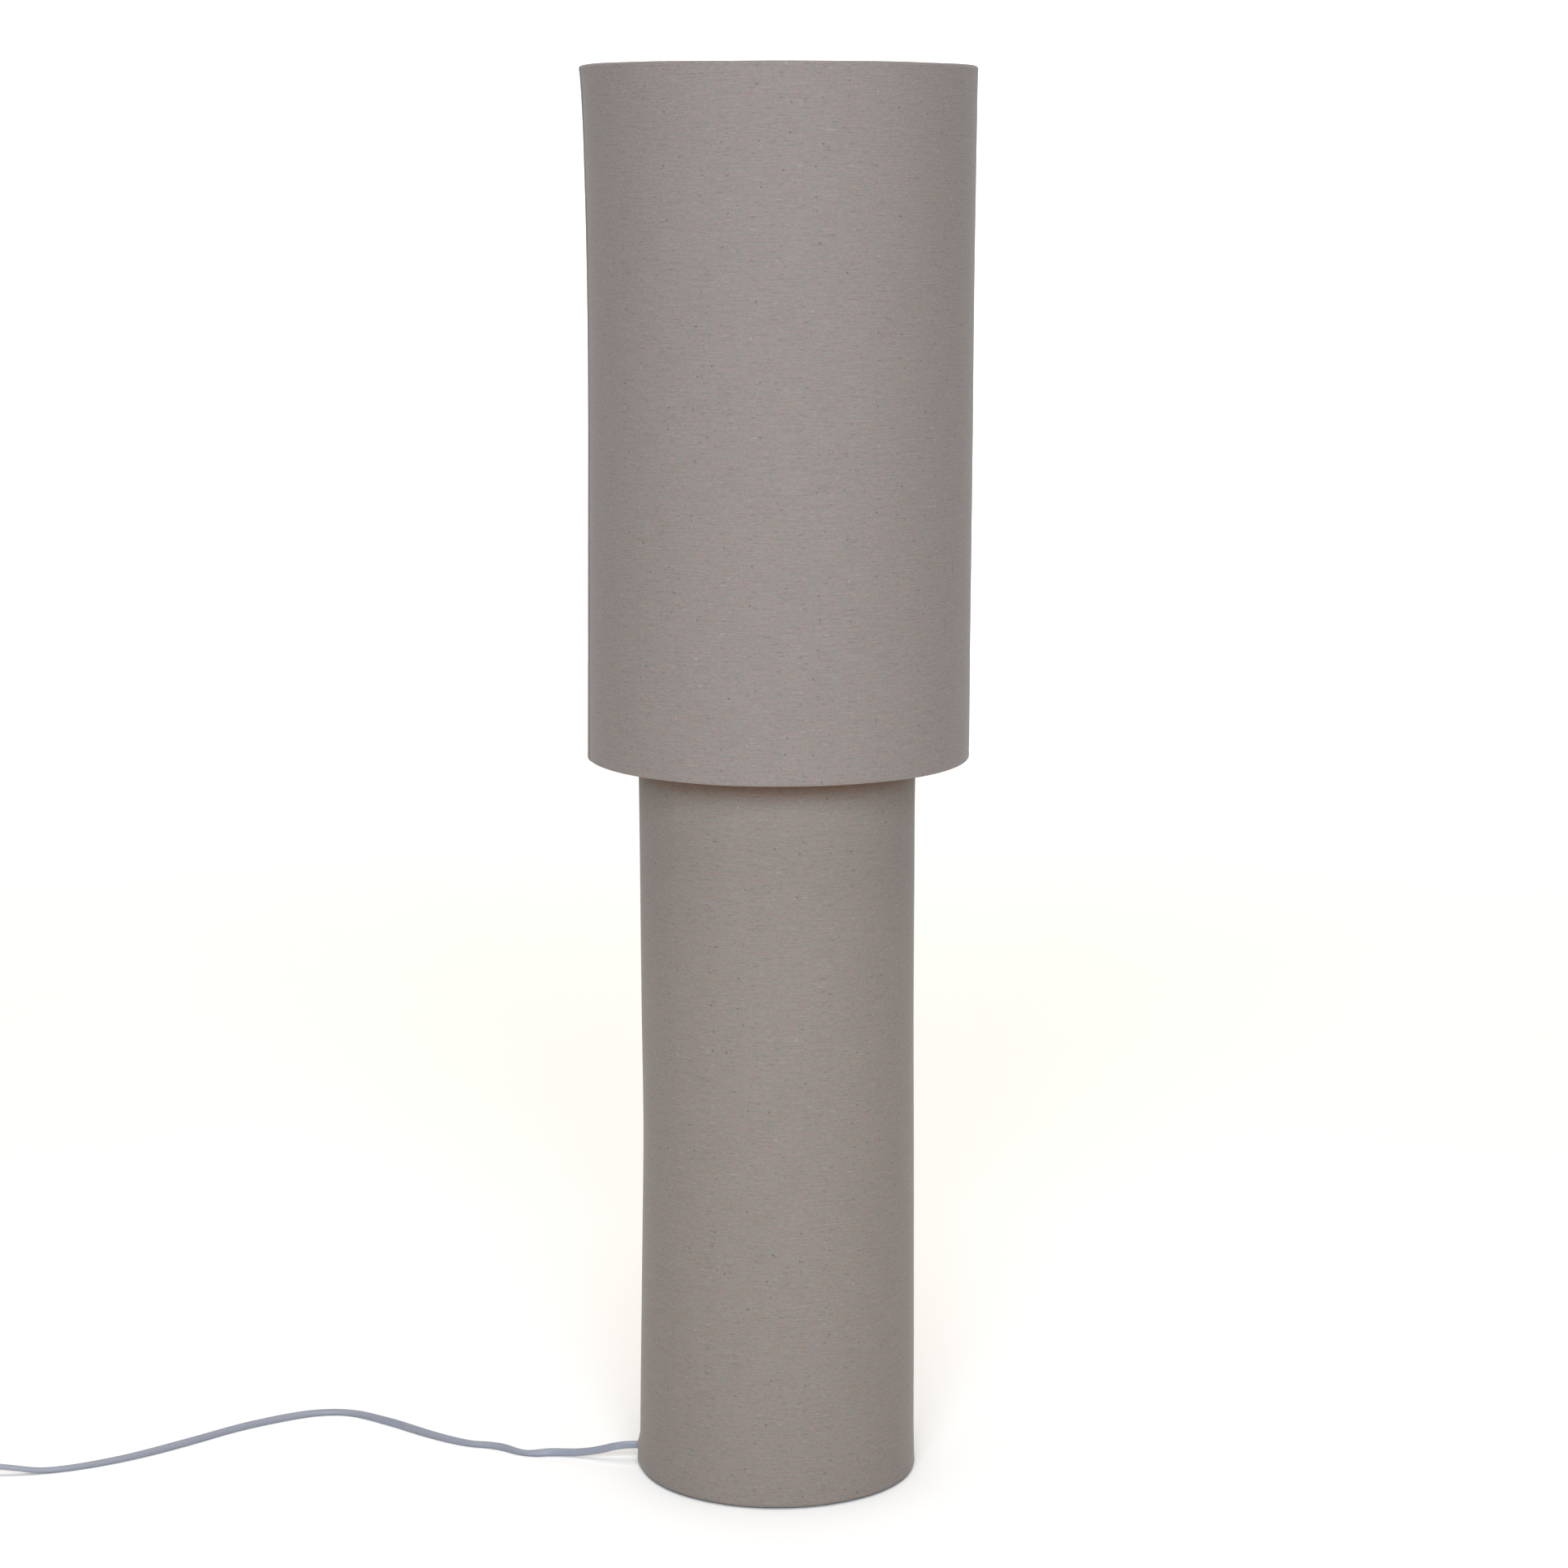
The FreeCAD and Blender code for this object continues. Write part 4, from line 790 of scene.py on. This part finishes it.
def build_lining(drum, cloth):
    """The stiff sheet behind the cloth, with its own lap inside."""
    out = cloth.thickness + LINING_GAP
    heights = np.linspace(drum.low.z + LINING_END, drum.high.z - LINING_END, LINING_ROWS)
    columns = drum_angles(drum)
    rows = []
    for inset, order in ((out, heights), (out + cloth.backing, heights[::-1])):
        for z in order:
            radius = wall(drum, columns, np.full(columns.shape, z)) - inset
            if inset > out:
                radius = radius - LINING_LAP * doubled(drum, columns)
            rows.append(on_drum(radius, columns, z))
    piece = new_piece(drum.name + "_lining", np.array(rows),
                      grid_faces(len(rows), len(columns), True), drum.body,
                      slot_finish("backing"))
    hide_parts(drum.name + "_liner")
    return piece


def oval_rings(start, heading, stations, points=36):
    """Oval rings along a straight line: distance, half width and half height at each station."""
    heading = Vector(heading).normalized()
    side = heading.cross(Vector((0, 0, 1))).normalized()
    rings = []
    for along, half_width, half_height in stations:
        centre = Vector(start) + heading * along
        ring = []
        for index in range(points):
            turn = 2 * math.pi * index / points
            ring.append(centre + side * (half_width * math.cos(turn))
                        + Vector((0, 0, half_height * math.sin(turn))))
        rings.append([tuple(point) for point in ring])
    return np.array(rings)


def pierce(piece, centre, half_width, half_height):
    """Cuts the hole where the flex passes through the column's wall on the left."""
    rings = oval_rings((centre[0] + CUT_INSIDE, centre[1], centre[2]), (-1, 0, 0),
                       [(along, half_width, half_height) for along in (0.0, CUT_LENGTH)])
    cutter = swept("cutter", rings, piece.data.materials[0])
    cut = piece.modifiers.new("hole", "BOOLEAN")
    cut.operation = "DIFFERENCE"
    cut.solver = "EXACT"
    cut.object = cutter
    graph = bpy.context.evaluated_depsgraph_get()
    mesh = bpy.data.meshes.new_from_object(piece.evaluated_get(graph))
    piece.modifiers.clear()
    piece.data = mesh
    bpy.data.objects.remove(cutter)


# ---- Flex ----
def smooth_line(points):
    """Even points along the smooth line that the control points pull, and how far along each is."""
    data = bpy.data.curves.new("route", "CURVE")
    data.dimensions = "3D"
    spline = data.splines.new("NURBS")
    spline.points.add(len(points) - 1)
    for point, place in zip(spline.points, points):
        point.co = (*place, 1.0)
    spline.order_u = 3
    spline.use_endpoint_u = True
    spline.resolution_u = 24
    holder = bpy.data.objects.new("route", data)
    mesh = bpy.data.meshes.new_from_object(holder)
    line = np.array([vertex.co[:] for vertex in mesh.vertices], float)
    bpy.data.objects.remove(holder)
    bpy.data.meshes.remove(mesh)
    steps = np.linalg.norm(np.diff(line, axis=0), axis=1)
    along = np.concatenate([[0.0], np.cumsum(steps)])
    even = np.linspace(0.0, along[-1], int(along[-1] / FLEX_STEP) + 1)
    return np.stack([np.interp(even, along, line[:, axis]) for axis in range(3)], axis=1), even


def coil_points():
    """The turns that put the spare length away: in on the floor, and out again on top."""
    points = []
    for step in range(int(COIL_TURN / COIL_STEP)):
        turned = COIL_STEP * (step + 0.5)
        tighter = COIL_TIGHTENING * min(turned, COIL_TURN - turned) / 90.0
        reach = (COIL_RADIUS - tighter) / math.cos(math.radians(COIL_STEP / 2))
        azimuth = math.radians(-90.0 - turned)
        climb = float(step_up(turned, *COIL_CLIMB))
        points.append((COIL_MIDDLE[0] + reach * math.cos(azimuth),
                       COIL_MIDDLE[1] + reach * math.sin(azimuth),
                       COIL_LOW + (COIL_HIGH - COIL_LOW) * climb))
    return tuple(points)


def flat_flex(name, points, rolls, flex):
    """The flat flex along a smooth line, rolled about it as it lies."""
    line, along = smooth_line(points)
    tangent = np.gradient(line, along, axis=0)
    tangent /= np.linalg.norm(tangent, axis=1)[:, None]
    side = np.cross(tangent, (0.0, 0.0, 1.0))
    side /= np.linalg.norm(side, axis=1)[:, None]
    normal = np.cross(side, tangent)
    stations, degrees = zip(*rolls)
    roll = np.radians(through(np.array(stations) * MM, degrees, along))
    roll = roll + FLEX_SWAY[0] * np.sin(along / FLEX_SWAY[1])
    roll = np.clip(roll, 0.0, math.pi / 2)
    end_radius = flex.thickness / 2
    spread = flex.width / 2 - end_radius
    lying = np.clip((LYING[0] - line[:, 2]) / LYING[1], 0.0, 1.0)
    drop = flex.width / 2 - (end_radius + spread * np.abs(np.sin(roll)))
    line[:, 2] -= drop * lying
    wide = np.cos(roll)[:, None] * side + np.sin(roll)[:, None] * normal
    thin = -np.sin(roll)[:, None] * side + np.cos(roll)[:, None] * normal
    ring = []
    for sign in (1, -1):
        for turn in np.linspace(-math.pi / 2, math.pi / 2, FLEX_HALF_RING):
            across = sign * (spread + end_radius * math.cos(turn))
            ring.append(line + wide * across + thin * (sign * end_radius * math.sin(turn)))
    return swept(name, np.stack(ring, axis=1), slot_finish("flex")), line


# The sleeves (mm): length, half width and half height of the mouth, radius of the foot and the neck
SLEEVE_LENGTH, SLEEVE_MOUTH, SLEEVE_FOOT, SLEEVE_NECK = 20.0, (4.1, 3.0), 6.0, 4.2
# The lip round the flex (mm): distance along the sleeve, half width, half height
SLEEVE_LIP = ((2.0, 3.1, 1.85), (0.3, 3.3, 2.05), (0.0, 3.6, 2.4), (0.25, 3.9, 2.8))
SLEEVE_STEPS = 60
SLEEVE_SWELL = 1.15             # above 1, the sleeve widens late
# Grooves: from, to and spacing as shares of the length, and depth (mm)
GROOVES_FROM, GROOVES_TO, GROOVE_PITCH, GROOVE_DEPTH = 0.16, 0.84, 0.136, 0.75


def ribbed_relief(name, start, heading, neck, node):
    """A soft tapered sleeve with grooves, oval where the flex goes in and round at its foot; the
    neck (mm) runs on inside what carries it."""
    stations = list(SLEEVE_LIP)
    for step in range(1, SLEEVE_STEPS + 1):
        share = step / SLEEVE_STEPS
        swell = share ** SLEEVE_SWELL
        groove = 0.0
        if GROOVES_FROM < share < GROOVES_TO:
            groove = max(0.0, math.cos(2 * math.pi * share / GROOVE_PITCH)) ** 3 * GROOVE_DEPTH
        stations.append((SLEEVE_LENGTH * share,
                         *(half + (SLEEVE_FOOT - half) * swell - groove for half in SLEEVE_MOUTH)))
    stations += [(SLEEVE_LENGTH + more, SLEEVE_NECK, SLEEVE_NECK) for more in (0.0, neck)]
    rings = oval_rings(start, heading, np.array(stations) * MM, 48)
    piece = swept(name, rings, slot_finish("flex"))
    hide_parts(node)
    return piece


# ---- Operators, in the order in which they run ----
class LAMP_OT_camera(Operator):
    """Puts the camera where the picture was taken"""
    bl_idname = "lamp.camera"
    bl_label = "Camera"

    def execute(self, context):
        view = context.scene.lamp_view
        data = bpy.data.cameras.new("view")
        data.sensor_width = 36.0
        data.lens = view.lens
        data.clip_end = 100.0
        camera = bpy.data.objects.new("view", data)
        context.scene.collection.objects.link(camera)
        turn = Matrix.Rotation(view.turn, 4, "Z")
        look = Matrix.Rotation(math.pi / 2 - view.pitch, 4, "X")
        tilt = Matrix.Rotation(view.tilt, 4, "Z")
        camera.matrix_world = Matrix.Translation(view.place) @ turn @ look @ tilt
        context.scene.camera = camera
        return {"FINISHED"}


class LAMP_OT_flex(Operator):
    """Lays the flat flex from the column to the foot switch, and on into its coil and plug"""
    bl_idname = "lamp.flex"
    bl_label = "Flex"

    def execute(self, context):
        flex = context.scene.lamp_flex
        finish_nodes("switch_base", "switch_cover", "switch_button", "plug_body", "plug_pins",
                     "plug_pin_collars", "cord_grommet", "inner_lead")
        inlet = ribbed_relief("switch_inlet_relief", TO_SWITCH[-1], (-1, 0, 0), 7.0,
                              "switch_inlet_sleeve")
        outlet = ribbed_relief("switch_outlet_relief", FROM_SWITCH[0], (1, 0, 0), 7.0,
                               "switch_outlet_sleeve")
        ending = ribbed_relief("plug_relief", TO_PLUG[-1], (1, 0, 0), 1.0, "plug_sleeve")
        first, line = flat_flex("flex_to_switch", TO_SWITCH, ROLL_TO_SWITCH, flex)
        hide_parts("cord_to_switch")
        route = FROM_SWITCH + coil_points() + TO_PLUG
        second, line = flat_flex("flex_to_plug", route, ROLL_TO_PLUG, flex)
        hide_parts("cord_from_switch", "cord_coil", "cord_to_plug")
        return {"FINISHED"}


class LAMP_OT_shade(Operator):
    """Covers the tall shade with cloth and its stiff backing"""
    bl_idname = "lamp.shade"
    bl_label = "Shade cover"

    def execute(self, context):
        cloth = context.scene.lamp_cloth
        drum = drum_of("shade")
        cover = build_cover(drum, cloth)
        build_lining(drum, cloth)
        return {"FINISHED"}


class LAMP_OT_column(Operator):
    """Covers the column with cloth and its stiff backing, with the hole for the flex"""
    bl_idname = "lamp.column"
    bl_label = "Column cover"

    def execute(self, context):
        cloth = context.scene.lamp_cloth
        drum = drum_of("column")
        cover = build_cover(drum, cloth)
        lining = build_lining(drum, cloth)
        pierce(cover, TO_SWITCH[0], *CLOTH_HOLE)
        pierce(lining, TO_SWITCH[0], *LINING_HOLE)
        return {"FINISHED"}


class LAMP_OT_frames(Operator):
    """Finishes the wire frames, the pole and the weighted foot"""
    bl_idname = "lamp.frames"
    bl_label = "Frames, pole and foot"

    def execute(self, context):
        finish_nodes("shade_bottom_ring", "shade_top_ring", "shade_spider",
                     "column_bottom_ring", "column_top_ring", "column_bottom_spider",
                     "column_top_spider", "lower_pole", "upper_pole", "pole_bushes",
                     "pole_foot_bush", "pole_nipple", "pole_grommet", "base_plate",
                     "base_felt", "base_bolt", "base_washer", "cord_clip",
                     "cord_clip_screws")
        return {"FINISHED"}


class LAMP_OT_holder(Operator):
    """Finishes the lamp holder and the ring that holds the shade"""
    bl_idname = "lamp.holder"
    bl_label = "Lamp holder"

    def execute(self, context):
        finish_nodes("holder_nipple", "holder_cap", "holder_insert", "holder_terminals",
                     "holder_skirt", "holder_screw_shell", "holder_centre_contact",
                     "shade_retaining_ring")
        return {"FINISHED"}


class LAMP_OT_bulb(Operator):
    """Finishes the bulb"""
    bl_idname = "lamp.bulb"
    bl_label = "Bulb"

    def execute(self, context):
        finish_nodes("bulb_tip", "bulb_insulator", "bulb_cap", "bulb_collar", "bulb_globe")
        return {"FINISHED"}


class LAMP_OT_switch(Operator):
    """Finishes what is inside and under the foot switch"""
    bl_idname = "lamp.switch"
    bl_label = "Foot switch"

    def execute(self, context):
        finish_nodes("switch_feet", "switch_screws", "switch_terminals", "switch_bridge",
                     "switch_spring")
        return {"FINISHED"}


# The stage: half its width, its front and back, the backdrop's height, and the floor just below 0
STAGE_SIDE, STAGE_FRONT, STAGE_BACK, STAGE_TOP, FLOOR_Z = 4.0, -3.7, 5.0, 3.5, -0.0003
SOFTBOX_PLACE, SOFTBOX_AIM, SOFTBOX_SIZE = (0.0, -3.5, 2.08), (0.0, 0.0, 0.75), (2.2, 1.55)
OVERHEAD_PLACE = (0.0, 0.0, 3.0)


class LAMP_OT_stage(Operator):
    """Sets out the plain floor and the soft studio light"""
    bl_idname = "lamp.stage"
    bl_label = "Stage"

    def light(self, name, kind, power, tint):
        data = bpy.data.lights.new(name, kind)
        data.energy = power
        data.color = tint
        light = bpy.data.objects.new(name, data)
        bpy.context.scene.collection.objects.link(light)
        light.visible_camera = False
        return light

    def softbox(self, stage):
        """A soft light behind and above the camera, high enough for a shadow under the shade."""
        place = Vector(SOFTBOX_PLACE)
        light = self.light("front_softbox", "AREA", stage.front, stage.front_tint)
        light.data.shape = "RECTANGLE"
        light.data.size, light.data.size_y = SOFTBOX_SIZE
        turn = (Vector(SOFTBOX_AIM) - place).to_track_quat("-Z", "Y")
        light.matrix_world = Matrix.Translation(place) @ turn.to_matrix().to_4x4()

    def overhead(self, stage):
        """A wide light from straight above, even all over the floor."""
        light = self.light("overhead", "SUN", stage.above, stage.room_tint)
        light.data.angle = stage.spread
        light.location = OVERHEAD_PLACE

    def sheet(self, name, corners, colour, **extra):
        """A plain pale sheet: the floor or the backdrop."""
        mesh = bpy.data.meshes.new(name)
        mesh.from_pydata(corners, [], [(0, 1, 2, 3)])
        sheet = bpy.data.objects.new(name, mesh)
        bpy.context.scene.collection.objects.link(sheet)
        finish = Finish("pale_" + name)
        clouds = finish.noise(1.3, 3.0)
        finish.set(Base_Color=finish.mix(clouds, brightened(colour, 0.99),
                                         brightened(colour, 1.01)),
                   Roughness=0.85, Specular_IOR_Level=0.15, **extra)
        finish.bump(finish.noise(500.0, 2.0), 0.00005, 0.2)
        mesh.materials.append(finish.material)

    def floor(self, stage):
        corners = ((-STAGE_SIDE, STAGE_FRONT), (STAGE_SIDE, STAGE_FRONT),
                   (STAGE_SIDE, STAGE_BACK), (-STAGE_SIDE, STAGE_BACK))
        self.sheet("floor", [(x, y, FLOOR_Z) for x, y in corners], tuple(stage.floor))

    def backdrop(self, stage):
        """A lit white sheet well behind the lamp."""
        corners = ((-STAGE_SIDE, FLOOR_Z), (STAGE_SIDE, FLOOR_Z), (STAGE_SIDE, STAGE_TOP),
                   (-STAGE_SIDE, STAGE_TOP))
        self.sheet("backdrop", [(x, STAGE_BACK, z) for x, z in corners], tuple(stage.floor),
                   Emission_Color=(1.0, 1.0, 1.0), Emission_Strength=stage.glow)

    def surround(self, stage):
        """Faint light from all round, which the camera sees as plain white."""
        world = bpy.data.worlds.new("studio")
        world.use_nodes = True
        tree = world.node_tree
        output = next(n for n in tree.nodes if n.type == "OUTPUT_WORLD")
        light = next(n for n in tree.nodes if n.type == "BACKGROUND")
        light.inputs["Color"].default_value = (*stage.room_tint, 1.0)
        light.inputs["Strength"].default_value = stage.sky
        seen = tree.nodes.new("ShaderNodeBackground")
        seen.inputs["Color"].default_value = (1.0, 1.0, 1.0, 1.0)
        path = tree.nodes.new("ShaderNodeLightPath")
        choice = tree.nodes.new("ShaderNodeMixShader")
        tree.links.new(path.outputs["Is Camera Ray"], choice.inputs[0])
        tree.links.new(light.outputs[0], choice.inputs[1])
        tree.links.new(seen.outputs[0], choice.inputs[2])
        tree.links.new(choice.outputs[0], output.inputs["Surface"])
        bpy.context.scene.world = world

    def execute(self, context):
        stage = context.scene.lamp_stage
        self.floor(stage)
        self.backdrop(stage)
        self.surround(stage)
        self.softbox(stage)
        self.overhead(stage)
        context.scene.view_settings.view_transform = "Standard"
        return {"FINISHED"}


class LAMP_PT_panel(Panel):
    """The lamp's pieces and settings"""
    bl_idname = "LAMP_PT_panel"
    bl_label = "Column floor lamp"
    bl_space_type = "VIEW_3D"
    bl_region_type = "UI"
    bl_category = "Lamp"

    def draw(self, context):
        layout = self.layout
        for operator in OPERATORS:
            layout.operator(operator.bl_idname)
        for name, settings in SETTINGS.items():
            box = layout.box()
            group = getattr(context.scene, name)
            for key in settings.__annotations__:
                box.prop(group, key)


SETTINGS = {
    "lamp_view": ViewSettings,
    "lamp_flex": FlexSettings,
    "lamp_cloth": ClothSettings,
    "lamp_finish": FinishSettings,
    "lamp_stage": StageSettings,
}
OPERATORS = (LAMP_OT_camera, LAMP_OT_flex, LAMP_OT_shade, LAMP_OT_column, LAMP_OT_frames,
             LAMP_OT_holder, LAMP_OT_bulb, LAMP_OT_switch, LAMP_OT_stage)


def register():
    for kind in (*SETTINGS.values(), *OPERATORS, LAMP_PT_panel):
        bpy.utils.register_class(kind)
    for name, settings in SETTINGS.items():
        setattr(bpy.types.Scene, name, PointerProperty(type=settings))


def unregister():
    for name in SETTINGS:
        delattr(bpy.types.Scene, name)
    for kind in reversed((*SETTINGS.values(), *OPERATORS, LAMP_PT_panel)):
        bpy.utils.unregister_class(kind)


def main():
    register()
    for operator in OPERATORS:
        group, name = operator.bl_idname.split(".")
        getattr(getattr(bpy.ops, group), name)()


if __name__ == "__main__":
    main()
